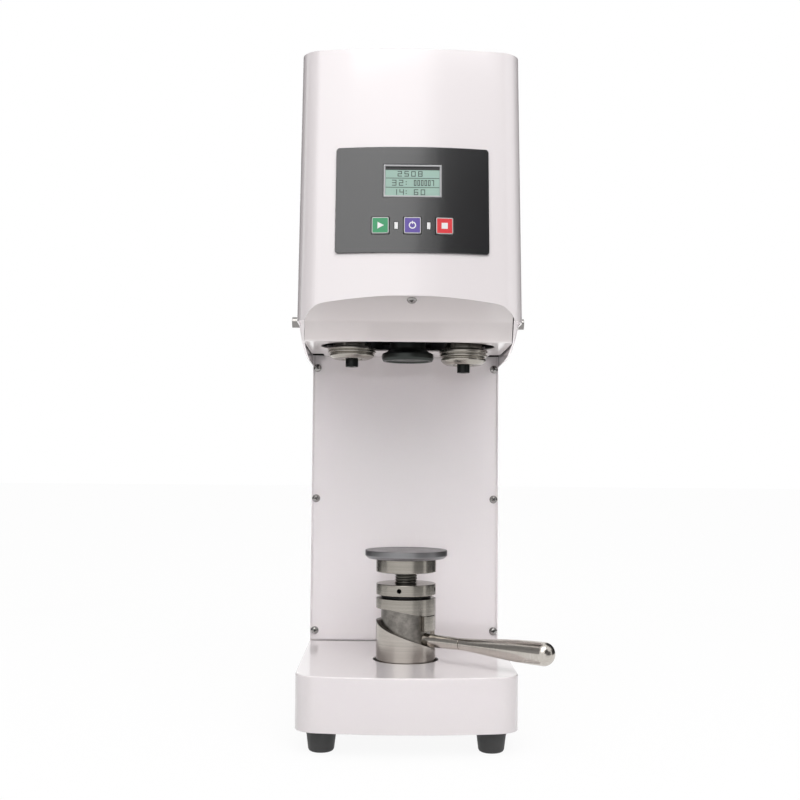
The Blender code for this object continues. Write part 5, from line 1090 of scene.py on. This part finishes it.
    def pictogram(self, name, top):
        """Raised white sign: a triangle, a ring with a gap, or a square."""
        low, high = top - 0.0003, top + 0.00012
        if name == "start":
            return [prism([(-0.0024, -0.0032), (0.0034, 0.0), (-0.0024, 0.0032)], low, high)]
        if name == "stop":
            return [block((-0.0028, -0.0028, low), (0.0028, 0.0028, high))]
        ring = lathe([(0.0023, low), (0.0033, low), (0.0033, high), (0.0023, high)], SMALL_STEPS, ring=True)
        ring = carve(ring, block((-0.0006, 0.0, low - 0.001), (0.0006, 0.005, high + 0.001)))
        return [ring, block((-0.0004, 0.0012, low), (0.0004, 0.0040, high))]

    def indicators(self):
        """White indicator bars."""
        half_w, half_h = self.bar_half
        for name, x in self.bar_places:
            top = self.depth(x) + 0.0020
            bar = block((x - half_w, self.row - half_h, top - 0.0125), (x + half_w, self.row + half_h, top))
            bm = soften(bar, 0.0003, 2)
            moved(bm, self.frame)
            finished(f"{name}_lens", bm, ["mark_white"], "base", [name])


class SealerRollers(bpy.types.Operator):
    """Make the seaming rollers, their bolts and the chuck"""

    bl_idname = "sealer.rollers"
    bl_label = "Rollers and chuck"

    # Outline of a roller from its top down: distance in from the rim, share of the height
    rings = ((0.0053, 0.0), (0.0053, 0.24), (0.0006, 0.30), (0.0, 0.33), (0.0, 0.44), (0.0011, 0.47),
             (0.0011, 0.50), (0.0003, 0.53), (0.0003, 0.60), (0.0026, 0.65), (0.0026, 0.69), (0.0015, 0.73),
             (0.0017, 0.80), (0.0040, 0.92), (0.0072, 1.0))
    flutes = 72

    def execute(self, context):
        edge = context.scene.sealer_shape.edge
        for side in ("left", "right"):
            roller = f"{side}_roller"
            axis, wide, low, high = turned_box(roller)
            bore = 0.0043
            seat = low + 0.0022
            profile = [(wide - inset, high - (high - low) * share) for inset, share in self.rings]
            profile += [(0.0102, low), (0.0094, seat), (bore, seat), (bore, high)]
            bm = soften(lathe(profile, LARGE_STEPS, ring=True), edge * 0.6, 2, 25.0)
            moved(bm, Matrix.Translation(axis))
            finished(f"{roller}_ring", bm, [f"{roller}_steel"], roller, [roller])
            self.bolt(side, axis, seat)
        self.chuck(edge)
        return {"FINISHED"}

    def bolt(self, side, axis, seat):
        """Socket-head bolt with a knurled head and a six-sided recess."""
        node = f"{side}_roller_bolt"
        _, head, low, high = turned_box(node)
        shank, face = 0.004, seat - 0.0005
        profile = [(0, high), (shank, high), (shank, face), (head, face), (head, low), (0, low)]
        bm = soften(lathe(profile, self.flutes), 0.0006, 3)
        hexagon = drum(0.0031, low - 0.001, low + 0.0036, 6)
        bm = carve(bm, hexagon)
        uprights = [edge for edge in bm.edges if abs(edge.verts[0].co.z - edge.verts[1].co.z) > 0.003
                    and math.hypot(*edge.verts[0].co.xy) > head - 0.0001]
        for edge in uprights:
            for vert in edge.verts:
                turn = math.atan2(vert.co.y, vert.co.x)
                if round(turn / math.tau * self.flutes) % 2:
                    vert.co.xy *= 0.975
        moved(bm, Matrix.Translation(axis))
        finished(f"{side}_roller_bolt_cap", bm, [f"{side}_bolt_black"], f"{side}_arm", [node], 50.0)

    def chuck(self, edge):
        """Chuck: a dished face, a flange and a cone up to its stem."""
        axis, wide, low, high = turned_box("chuck")
        stem, bore = 0.0177, 0.0093
        rim, seat, dish = low + 0.0073, low + 0.0093, low + 0.0015
        profile = [(0, seat), (bore, seat), (bore, high), (stem, high), (stem, rim + 0.0062),
                   (stem + 0.0006, rim + 0.0040), (stem + 0.0030, rim + 0.0021),
                   (stem + 0.0062, rim + 0.0006), (wide - 0.0004, rim), (wide, rim - 0.0012),
                   (wide, low + 0.0026), (wide - 0.0008, low + 0.0012), (wide - 0.0012, low),
                   (wide - 0.0034, low), (wide - 0.0044, dish), (0, dish)]
        bm = soften(lathe(profile, LARGE_STEPS), edge, 2, 25.0)
        moved(bm, Matrix.Translation(axis))
        finished("chuck_cone", bm, ["chuck_black"], "spindle", ["chuck"])


class SealerLift(bpy.types.Operator):
    """Make the lift: ramp sleeve, cam sleeve, nut, rod, collar and rest plate"""

    bl_idname = "sealer.lift"
    bl_label = "Lift"

    # Angles in degrees from the front, and the ramp's fall for each degree
    ramp_start = -87.0
    ramp_end = 74.0
    well_end = 100.0
    slant_start = -32.0
    block_start = 36.6
    block_end = 95.0
    lead = 0.000175

    # Radii: outside of the sleeves, inside of the ramp sleeve, and hole round the lift rod
    wide = 0.029
    bore = 0.0243
    rod_hole = 0.0113

    def execute(self, context):
        shape = context.scene.sealer_shape
        self.ramp_sleeve()
        self.cam_sleeve()
        self.cam_block()
        self.rings(shape)
        self.rod(shape)
        return {"FINISHED"}

    def angles(self, slope_start, slope_end, level_end):
        """Angles round a ring: down its slope, along its level part and back after a sharp step."""
        spans = ((slope_start, slope_end, 2.5), (slope_end, level_end, 2.6),
                 (level_end + 0.15, slope_start + 360.0, 2.8))
        turns = []
        for start, end, step in spans:
            count = max(1, math.ceil((end - start) / step))
            first = 1 if start == slope_end else 0
            turns += [start + (end - start) * i / count for i in range(first, count + 1)]
        return turns[:-1]

    def loft(self, angles, section):
        """Ring whose (radius, height) section changes with the angle from the front."""
        bm = bmesh.new()
        rings = []
        for degrees in angles:
            turn = math.radians(degrees)
            verts = [bm.verts.new((r * math.sin(turn), -r * math.cos(turn), z)) for r, z in section(degrees)]
            rings.append([bm.edges.new(pair) for pair in zip(verts, verts[1:] + verts[:1])])
        for ring, following in zip(rings, rings[1:] + rings[:1]):
            bmesh.ops.bridge_loops(bm, edges=ring + following)
        bmesh.ops.recalc_face_normals(bm, faces=bm.faces)
        return bm

    def ramp_sleeve(self):
        """Fixed sleeve whose top edge falls on a helix to a flat well."""
        _, flange, floor, high = turned_box("ramp_sleeve")
        wide, bore, step = self.wide, self.bore, floor + 0.005
        low = high - self.lead * (self.ramp_end - self.ramp_start)

        def section(degrees):
            if degrees <= self.ramp_end:
                top = high - self.lead * (degrees - self.ramp_start)
            elif degrees <= self.well_end:
                top = low
            else:
                top = high
            return [(bore, floor), (flange, floor), (flange, step), (wide, step), (wide, top), (bore, top)]

        angles = self.angles(self.ramp_start, self.ramp_end, self.well_end)
        bm = soften(self.loft(angles, section), 0.0003, 2, 45.0)
        # Bore and top faces: painted shade in the bore, and painted shade with rub marks on the top faces.
        self.scuff_and_shade(bm, lambda face, radius: radius < bore + 0.0003
                   or abs(face.normal.z) > 0.5 and face.calc_center_median().z > floor + 0.01)
        moved(bm, Matrix.Translation(SPINDLE))
        finished("ramp_sleeve_body", bm, ["lighter_ramp_steel", "scuffed_shaded_steel"], "base", ["ramp_sleeve"], 45.0)

    def cam_sleeve(self):
        """Turning sleeve with a slanted skirt."""
        low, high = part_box("cam_sleeve")
        foot, top = low.z, high.z
        wide, neck, bore = self.wide, 0.024, self.rod_hole
        skirt, full_rise = top - 0.0154, 0.006
        slant_end = self.block_start - 1.0

        def section(degrees):
            if degrees <= slant_end:
                rise = full_rise * (slant_end - degrees) / (slant_end - self.slant_start)
            elif degrees <= self.block_end:
                rise = 0.0
            else:
                rise = full_rise
            hem = skirt + rise
            return [(bore, foot), (neck, foot), (neck, hem), (wide, hem), (wide, top), (bore, top)]

        bm = self.loft(self.angles(self.slant_start, slant_end, self.block_end), section)
        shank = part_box("lever_shank")
        height = (shank[0].z + shank[1].z) / 2
        radius = (shank[1].z - shank[0].z) / 2
        hole = moved(drum(radius + 0.0003, 0.0132, 0.035), lever_frame(height))
        bm = soften(carve(bm, hole), 0.0005, 2, 45.0)
        # Neck under the skirt and the skirt's underside: painted shade under the skirt, with rub marks.
        self.scuff_and_shade(bm, lambda face, radius: 0.02 < radius < neck + 0.0003
                   or face.normal.z < -0.5 and radius > neck and face.calc_center_median().z < top - 0.002)
        moved(bm, Matrix.Translation(SPINDLE))
        finished("cam_sleeve_body", bm, ["lift_steel", "scuffed_shaded_steel"], "lift_cam", ["cam_sleeve"], 45.0)

    def scuff_and_shade(self, bm, rubbed_and_shaded):
        """Give some faces the second, darker finish: painted shade in hollows and under ledges, with rub
        marks where the sleeves slide.
        """
        for face in bm.faces:
            centre = face.calc_center_median()
            face.material_index = 1 if rubbed_and_shaded(face, math.hypot(centre.x, centre.y)) else 0

    def cam_block(self):
        """Fitted block above the lever."""
        low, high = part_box("cam_block")
        first, last = self.block_start + 0.6, self.block_end - 0.6
        steps = 24
        bm = bmesh.new()
        turn = math.radians(first)
        section = ((self.bore, low.z), (self.wide, low.z), (self.wide, high.z), (self.bore, high.z))
        verts = [bm.verts.new((r * math.sin(turn), -r * math.cos(turn), z)) for r, z in section]
        edges = [bm.edges.new(pair) for pair in zip(verts, verts[1:] + verts[:1])]
        made = bmesh.ops.spin(bm, geom=verts + edges, cent=(0, 0, 0), axis=UP,
                              angle=math.radians(last - first), steps=steps, use_merge=False)
        bmesh.ops.contextual_create(bm, geom=edges)
        bmesh.ops.contextual_create(bm, geom=[item for item in made["geom_last"]
                                              if isinstance(item, bmesh.types.BMEdge)])
        bmesh.ops.remove_doubles(bm, verts=bm.verts, dist=0.000005)
        bmesh.ops.recalc_face_normals(bm, faces=bm.faces)
        soften(bm, 0.0006, 2, 45.0)
        moved(bm, Matrix.Translation(SPINDLE))
        finished("cam_block_body", bm, ["lift_steel"], "lift_cam", ["cam_block"], 45.0)

    def rings(self, shape):
        """Thrust washer, height nut with its four holes, plate collar and rest plate."""
        edge, hole = shape.edge, self.rod_hole
        axis, wide, low, high = turned_box("thrust_washer")
        bm = lathe([(hole, low), (wide, low), (wide, high), (hole, high)], ring=True)
        moved(soften(bm, edge * 0.5), Matrix.Translation(axis))
        finished("thrust_washer_ring", bm, ["washer_black_and_shade"], "lift_carriage", ["thrust_washer"])

        axis, wide, low, high = turned_box("height_nut")
        middle = (low + high) / 2
        bm = lathe([(hole, low), (wide, low), (wide, high), (hole, high)], LARGE_STEPS, ring=True)
        soften(bm, 0.0008, 3)
        drills = []
        for number in range(4):
            turn = Matrix.Rotation(math.radians(-14.0 + 90.0 * number), 4, "Z")
            lay = Matrix.Translation((0, 0, middle)) @ turn @ Matrix.Rotation(math.pi / 2, 4, "X")
            drills.append(moved(drum(0.00225, wide - 0.011, wide + 0.002), lay))
        bm = soften(carve(bm, *drills), 0.0003, 2, 50.0)
        # Walls of the drilled holes get the black finish: painted shade inside the holes.
        self.scuff_and_shade(bm, lambda face, radius: 0.0175 < radius < wide - 0.0004
                   and abs(face.calc_center_median().z - middle) < 0.0024)
        moved(bm, Matrix.Translation(axis))
        finished("height_nut_ring", bm, ["lift_steel", "washer_black_and_shade"], "height_nut", ["height_nut"], 45.0)

        axis, wide, low, high = turned_box("plate_collar")
        web = high - 0.0068
        profile = [(0, web), (0.0083, web), (0.0083, high), (wide, high), (wide, low), (hole, low),
                   (hole, web - 0.002), (0, web - 0.002)]
        bm = soften(lathe(profile, LARGE_STEPS), 0.0008, 3)
        moved(bm, Matrix.Translation(axis))
        finished("plate_collar_ring", bm, ["lift_steel"], "lift_rod", ["plate_collar"])

        axis, wide, low, high = turned_box("rest_plate")
        under = high - 0.008
        profile = [(0, high - 0.0004), (wide - 0.0060, high - 0.0004), (wide - 0.0052, high), (wide, high),
                   (wide, under + 0.0026), (wide - 0.0026, under), (0.008, under), (0.008, low), (0, low)]
        bm = soften(lathe(profile, LARGE_STEPS), edge, 2, 25.0)
        moved(bm, Matrix.Translation(axis))
        finished("rest_plate_disc", bm, ["plate_steel"], "rest_plate", ["rest_plate"])

    def rod(self, shape):
        """Lift rod with its screw thread."""
        axis, wide, low, high = turned_box("lift_rod")
        root = wide - shape.thread_depth
        crest = shape.pitch * 0.10
        flank = shape.pitch * 0.38
        bm = bmesh.new()
        steps = 48
        turns = math.ceil((high - low) / shape.pitch) + 2
        section = [(root, 0.0), (wide, flank), (wide, flank + crest), (root, 2 * flank + crest),
                   (root, shape.pitch)]
        verts = [bm.verts.new((r, 0, low - shape.pitch + z)) for r, z in section]
        edges = [bm.edges.new(pair) for pair in zip(verts, verts[1:])]
        bmesh.ops.spin(bm, geom=verts + edges, cent=(0, 0, 0), axis=UP, dvec=(0, 0, shape.pitch / steps),
                       angle=math.tau * turns, steps=steps * turns, use_merge=False)
        bmesh.ops.remove_doubles(bm, verts=bm.verts, dist=0.000005)
        for height, side in ((low, -1), (high, 1)):
            bmesh.ops.bisect_plane(bm, geom=bm.verts[:] + bm.edges[:] + bm.faces[:], plane_co=(0, 0, height),
                                   plane_no=(0, 0, side), clear_outer=True, dist=0.000001)
            rim = [edge for edge in bm.edges if edge.is_boundary
                   and all(abs(vert.co.z - height) < 0.00001 for vert in edge.verts)]
            bmesh.ops.contextual_create(bm, geom=rim)
        bmesh.ops.recalc_face_normals(bm, faces=bm.faces)
        # Roots and lower flanks of the thread get the black finish: painted shade in the grooves.
        self.scuff_and_shade(bm, lambda face, radius: radius < wide - shape.thread_depth * 0.6)
        moved(bm, Matrix.Translation(axis))
        finished("lift_rod_thread", bm, ["rod_steel", "washer_black_and_shade"], "lift_rod", ["lift_rod"], 30.0)


class SealerLever(bpy.types.Operator):
    """Make the lever's shank and its tapered grip"""

    bl_idname = "sealer.lever"
    bl_label = "Lever"

    def execute(self, context):
        low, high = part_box("lever_shank")
        grip_low, grip_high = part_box("lever_grip")
        radius = (high.z - low.z) / 2
        lay = Matrix.Translation(SPINDLE) @ lever_frame((low.z + high.z) / 2)
        ball = (grip_high.z - grip_low.z) / 2
        end = (grip_high.x - SPINDLE.x - ball) / math.cos(LEVER_YAW) + ball
        shoulder, spigot, neck = 0.064, 0.011, 0.0055
        profile = [(0, shoulder + spigot), (0.0035, shoulder + spigot), (0.0035, shoulder), (neck, shoulder),
                   (neck + 0.0002, shoulder - 0.006), (radius, 0.034), (radius, 0.0135), (0, 0.0135)]
        shank = soften(lathe(profile), 0.0004, 2, 30.0)
        finished("lever_shank_bar", moved(shank, lay), ["lever_steel"], "lift_cam", ["lever_shank"])

        start = shoulder + 0.0003
        centre = end - ball
        swell = ball + 0.0007
        dome = [(swell * math.sin(a), centre - 0.0004 + ball * math.cos(a))
                for a in (math.pi / 2 * i / 16 for i in range(17))]
        taper = [(thick, start + (centre - start) * t)
                 for t, thick in ((0.84, swell - 0.0002), (0.70, 0.0101), (0.57, 0.0094), (0.44, 0.0084),
                                  (0.31, 0.0074), (0.18, 0.0064), (0.07, 0.0058))]
        profile = dome + taper + [(neck + 0.0002, start + 0.0006), (neck - 0.0006, start), (0.0038, start),
                                  (0.0038, start + spigot), (0, start + spigot)]
        finished("lever_grip_bar", moved(lathe(profile), lay), ["lever_steel"], "lift_cam", ["lever_grip"])
        return {"FINISHED"}


class SealerFeet(bpy.types.Operator):
    """Make the rubber feet"""

    bl_idname = "sealer.feet"
    bl_label = "Feet"

    def execute(self, context):
        for node in ("foot_front_left", "foot_front_right", "foot_rear_left", "foot_rear_right"):
            axis, wide, low, high = turned_box(node)
            stud, shoulder, tread, hollow = 0.004, 0.020, wide - 0.0020, low + 0.002
            profile = [(0, high), (stud, high), (stud, shoulder), (wide, shoulder), (wide, 0.0165),
                       (wide - 0.0006, 0.0155), (tread - 0.0002, 0.0026), (tread - 0.0010, 0.0010),
                       (tread - 0.0026, low), (0.006, low), (0.005, hollow), (0, hollow)]
            bm = soften(lathe(profile, 64), 0.0006, 2)
            moved(bm, Matrix.Translation(axis))
            finished(f"{node}_rubber", bm, ["foot_rubber"], "base", [node])
        return {"FINISHED"}


class SealerBack(bpy.types.Operator):
    """Finish the back cover, the power inlet and its switch"""

    bl_idname = "sealer.back"
    bl_label = "Back"

    def execute(self, context):
        kept("white_paint", "back_cover")
        kept("frame_paint_shaded_above", "column_frame")
        kept("black_plastic", "power_inlet", "power_switch")
        return {"FINISHED"}


class SealerInside(bpy.types.Operator):
    """Finish the pieces inside the head and the column"""

    bl_idname = "sealer.inside"
    bl_label = "Inside"

    def execute(self, context):
        kept("dark_steel", "base_plate", "head_plate")
        kept("grey_casting", "left_arm", "right_arm", "spindle_housing", "motor")
        kept("bright_steel", "left_arm_pivot", "right_arm_pivot", "arm_crank", "crank_motor", "spindle",
             "spindle_bearing")
        kept("aluminium", "spindle_pulley", "motor_pulley")
        kept("belt_rubber", "drive_belt")
        kept("circuit_board", "control_board")
        return {"FINISHED"}


def screen_rays(nodes, links):
    """Socket that is 1 for rays from the camera, off gloss and through glass."""
    path = nodes.new("ShaderNodeLightPath")
    total = path.outputs["Is Camera Ray"]
    for name in ("Is Glossy Ray", "Is Transmission Ray"):
        add = nodes.new("ShaderNodeMath")
        add.operation = "ADD"
        add.use_clamp = True
        links.new(total, add.inputs[0])
        links.new(path.outputs[name], add.inputs[1])
        total = add.outputs["Value"]
    return total


class SealerStaging(bpy.types.Operator):
    """Set up the camera, the lamps, the dark cards, the floor and the background"""

    bl_idname = "sealer.staging"
    bl_label = "Stage"

    # Dark cards: angle from the front, distance from the spindle, foot, top, width and tone
    cards = ((48.0, 1.0, 0.0, 0.50, 0.80, 0.25), (132.0, 1.1, 0.0, 2.0, 0.9, 0.03),
             (-132.0, 1.1, 0.0, 2.0, 0.9, 0.03), (95.0, 1.0, 0.0, 0.50, 0.50, 0.08),
             (-95.0, 1.0, 0.07, 0.50, 0.60, 0.08), (-72.0, 1.5, 0.16, 0.75, 1.4, 0.40),
             (-72.0, 1.55, 0.75, 2.20, 1.4, 0.30), (30.0, 2.9, 0.6, 3.4, 2.2, 0.10),
             (112.0, 1.1, 0.5, 2.0, 0.6, 0.03))

    def execute(self, context):
        stage = context.scene.sealer_stage
        self.camera(context.scene, stage)
        self.world(context.scene, stage)
        self.floor()
        middle, table = Vector((0.0, -0.05, 0.32)), Vector((0.0, -0.1, 0.10))
        self.lamp("key_lamp", stage.key, 1.7, (-0.6, -2.0, 1.95), middle)
        self.lamp("fill_lamp", stage.fill, 1.2, (1.0, -2.2, 1.45), middle)
        self.lamp("top_lamp", stage.top, 1.5, (0.1, -1.3, 2.3), table)
        for side, x in (("left", -0.092), ("right", 0.073)):
            target = Vector((x, -0.065, 0.36))
            self.lamp(f"low_lamp_{side}", stage.low, 0.06, (x, -0.045, 0.085), target, 60.0)
        self.lamp("column_lamp", stage.column, 0.3, (0.0, -1.6, 0.28), Vector((-0.01, 0.06, 0.18)), 8.0)
        for number, card in enumerate(self.cards, 1):
            self.card(f"dark_card_{number}", *card)
        # Lies in front of the machine and only takes away light that the floor would send up
        flag = solid_object(block((-0.45, -0.95, 0.001), (0.45, -0.34, 0.002)), "dark_flag")
        flag.visible_glossy = False
        self.darken(flag, 0.05)
        context.scene.view_settings.view_transform = "Standard"
        return {"FINISHED"}

    def camera(self, scene, stage):
        """Camera at the photograph's angle."""
        data = bpy.data.cameras.new("camera")
        data.lens = stage.lens
        data.sensor_width = 36.0
        data.clip_start = 0.01
        cos_p, sin_p = math.cos(stage.pitch), math.sin(stage.pitch)
        cos_y, sin_y = math.cos(stage.yaw), math.sin(stage.yaw)
        ahead = Vector((-sin_y * cos_p, cos_y * cos_p, sin_p))
        right = Vector((cos_y, sin_y, 0))
        above = right.cross(ahead)
        cos_r, sin_r = math.cos(stage.roll), math.sin(stage.roll)
        turned_right = cos_r * right + sin_r * above
        turned_up = cos_r * above - sin_r * right
        camera = bpy.data.objects.new("camera", data)
        camera.matrix_world = Matrix.Translation(stage.camera) @ Matrix(
            (turned_right, turned_up, -ahead)).transposed().to_4x4()
        scene.collection.objects.link(camera)
        scene.camera = camera

    def world(self, scene, stage):
        """Soft light from all round, and a white background for the camera."""
        world = bpy.data.worlds.new("studio")
        world.use_nodes = True
        nodes, links = world.node_tree.nodes, world.node_tree.links
        shade = nodes["Background"]
        shade.inputs["Color"].default_value = (1.0, 0.985, 0.985, 1.0)
        source, split = nodes.new("ShaderNodeTexCoord"), nodes.new("ShaderNodeSeparateXYZ")
        links.new(source.outputs["Generated"], split.inputs["Vector"])
        across = nodes.new("ShaderNodeMath")
        across.operation = "ABSOLUTE"
        links.new(split.outputs["X"], across.inputs[0])
        product = nodes.new("ShaderNodeMath")
        product.operation = "MULTIPLY"
        for slot, (value, far, low, high) in enumerate(((split.outputs["Z"], 0.8, 0.22, 1.0),
                                                        (across.outputs["Value"], 1.0, 1.0, 0.50))):
            fade = nodes.new("ShaderNodeMapRange")
            fade.interpolation_type = "SMOOTHSTEP"
            fade.inputs["From Max"].default_value = far
            strength = stage.ambient if slot == 0 else 1.0
            fade.inputs["To Min"].default_value = low * strength
            fade.inputs["To Max"].default_value = high * strength
            links.new(value, fade.inputs["Value"])
            links.new(fade.outputs["Result"], product.inputs[slot])
        links.new(product.outputs["Value"], shade.inputs["Strength"])
        white = nodes.new("ShaderNodeBackground")
        mix = nodes.new("ShaderNodeMixShader")
        links.new(screen_rays(nodes, links), mix.inputs["Fac"])
        links.new(shade.outputs["Background"], mix.inputs[1])
        links.new(white.outputs["Background"], mix.inputs[2])
        links.new(mix.outputs["Shader"], nodes["World Output"].inputs["Surface"])
        white.inputs["Color"].default_value = (1.0, 1.0, 1.0, 1.0)
        scene.world = world

    def floor(self):
        """Plain pale floor that keeps a soft shadow."""
        bm = bmesh.new()
        bmesh.ops.create_grid(bm, x_segments=1, y_segments=1, size=12.0)
        floor = solid_object(bm, "floor")
        material = bpy.data.materials.new("floor_white")
        material.use_nodes = True
        nodes, links = material.node_tree.nodes, material.node_tree.links
        shader = nodes["Principled BSDF"]
        shader.inputs["Base Color"].default_value = (0.55, 0.55, 0.55, 1.0)
        shader.inputs["Roughness"].default_value = 0.9
        glow = nodes.new("ShaderNodeEmission")
        scale = nodes.new("ShaderNodeMath")
        scale.operation = "MULTIPLY"
        scale.inputs[1].default_value = 0.88
        links.new(screen_rays(nodes, links), scale.inputs[0])
        glow.inputs["Strength"].default_value = 1.05
        mix = nodes.new("ShaderNodeMixShader")
        links.new(scale.outputs["Value"], mix.inputs["Fac"])
        links.new(shader.outputs["BSDF"], mix.inputs[1])
        links.new(glow.outputs["Emission"], mix.inputs[2])
        links.new(mix.outputs["Shader"], nodes["Material Output"].inputs["Surface"])
        floor.data.materials.append(material)

    def facing(self, place, target):
        """Placement at a spot, turned so that its Z axis looks away from a target."""
        place = Vector(place)
        return Matrix.Translation(place) @ (place - target).to_track_quat("Z", "Y").to_matrix().to_4x4()

    def lamp(self, name, power, size, place, target, spread=180.0):
        """Square lamp whose light leaves within a spread in degrees."""
        data = bpy.data.lights.new(name, "AREA")
        data.energy = power
        data.size = size
        data.spread = math.radians(spread)
        lamp = bpy.data.objects.new(name, data)
        lamp.matrix_world = self.facing(place, target)
        lamp.visible_camera = False
        lamp.visible_glossy = name in ("key_lamp", "top_lamp")
        bpy.context.scene.collection.objects.link(lamp)

    def card(self, name, turn, away, low, high, width, tone):
        """Dark upright card that shows only in reflections, at an angle from the front."""
        bm = block((-width / 2, -away - 0.005, low), (width / 2, -away + 0.005, high))
        place = Matrix.Translation(SPINDLE) @ Matrix.Rotation(math.radians(turn), 4, "Z")
        card = solid_object(moved(bm, place), name)
        card.visible_diffuse = False
        self.darken(card, tone)

    def darken(self, card, tone):
        """Plain dark finish for a card that the camera doesn't see."""
        card.visible_camera = False
        card.visible_shadow = False
        material = bpy.data.materials.new(card.name)
        material.use_nodes = True
        shader = material.node_tree.nodes["Principled BSDF"]
        shader.inputs["Base Color"].default_value = (tone, tone, tone, 1.0)
        shader.inputs["Roughness"].default_value = 0.9
        card.data.materials.append(material)


OPERATORS = (SealerFinishes, SealerHeadShell, SealerTopCover, SealerUnderCover, SealerBaseCover, SealerColumn,
             SealerHeadBolts, SealerPanel, SealerRollers, SealerLift, SealerLever, SealerFeet, SealerBack,
             SealerInside, SealerStaging)


class SealerSidebar(bpy.types.Panel):
    """Buttons that make the machine, and its settings"""

    bl_idname = "VIEW3D_PT_sealer"
    bl_label = "Sealing machine"
    bl_space_type = "VIEW_3D"
    bl_region_type = "UI"
    bl_category = "Sealing machine"

    def draw(self, context):
        for operator in OPERATORS:
            self.layout.operator(operator.bl_idname, text=operator.bl_label)
        for group in (context.scene.sealer_finish, context.scene.sealer_shape, context.scene.sealer_stage):
            for name in group.bl_rna.properties.keys():
                if name not in ("rna_type", "name"):
                    self.layout.prop(group, name)


CLASSES = (SealerFinish, SealerShape, SealerStage, *OPERATORS, SealerSidebar)


def register():
    """Add the classes and the scene's settings."""
    for item in CLASSES:
        bpy.utils.register_class(item)
    bpy.types.Scene.sealer_finish = PointerProperty(type=SealerFinish)
    bpy.types.Scene.sealer_shape = PointerProperty(type=SealerShape)
    bpy.types.Scene.sealer_stage = PointerProperty(type=SealerStage)


def unregister():
    """Take the classes and the scene's settings away."""
    del bpy.types.Scene.sealer_stage
    del bpy.types.Scene.sealer_shape
    del bpy.types.Scene.sealer_finish
    for item in reversed(CLASSES):
        bpy.utils.unregister_class(item)


def main():
    """Make every piece."""
    register()
    for operator in OPERATORS:
        group, name = operator.bl_idname.split(".")
        getattr(getattr(bpy.ops, group), name)()


if __name__ == "__main__":
    main()
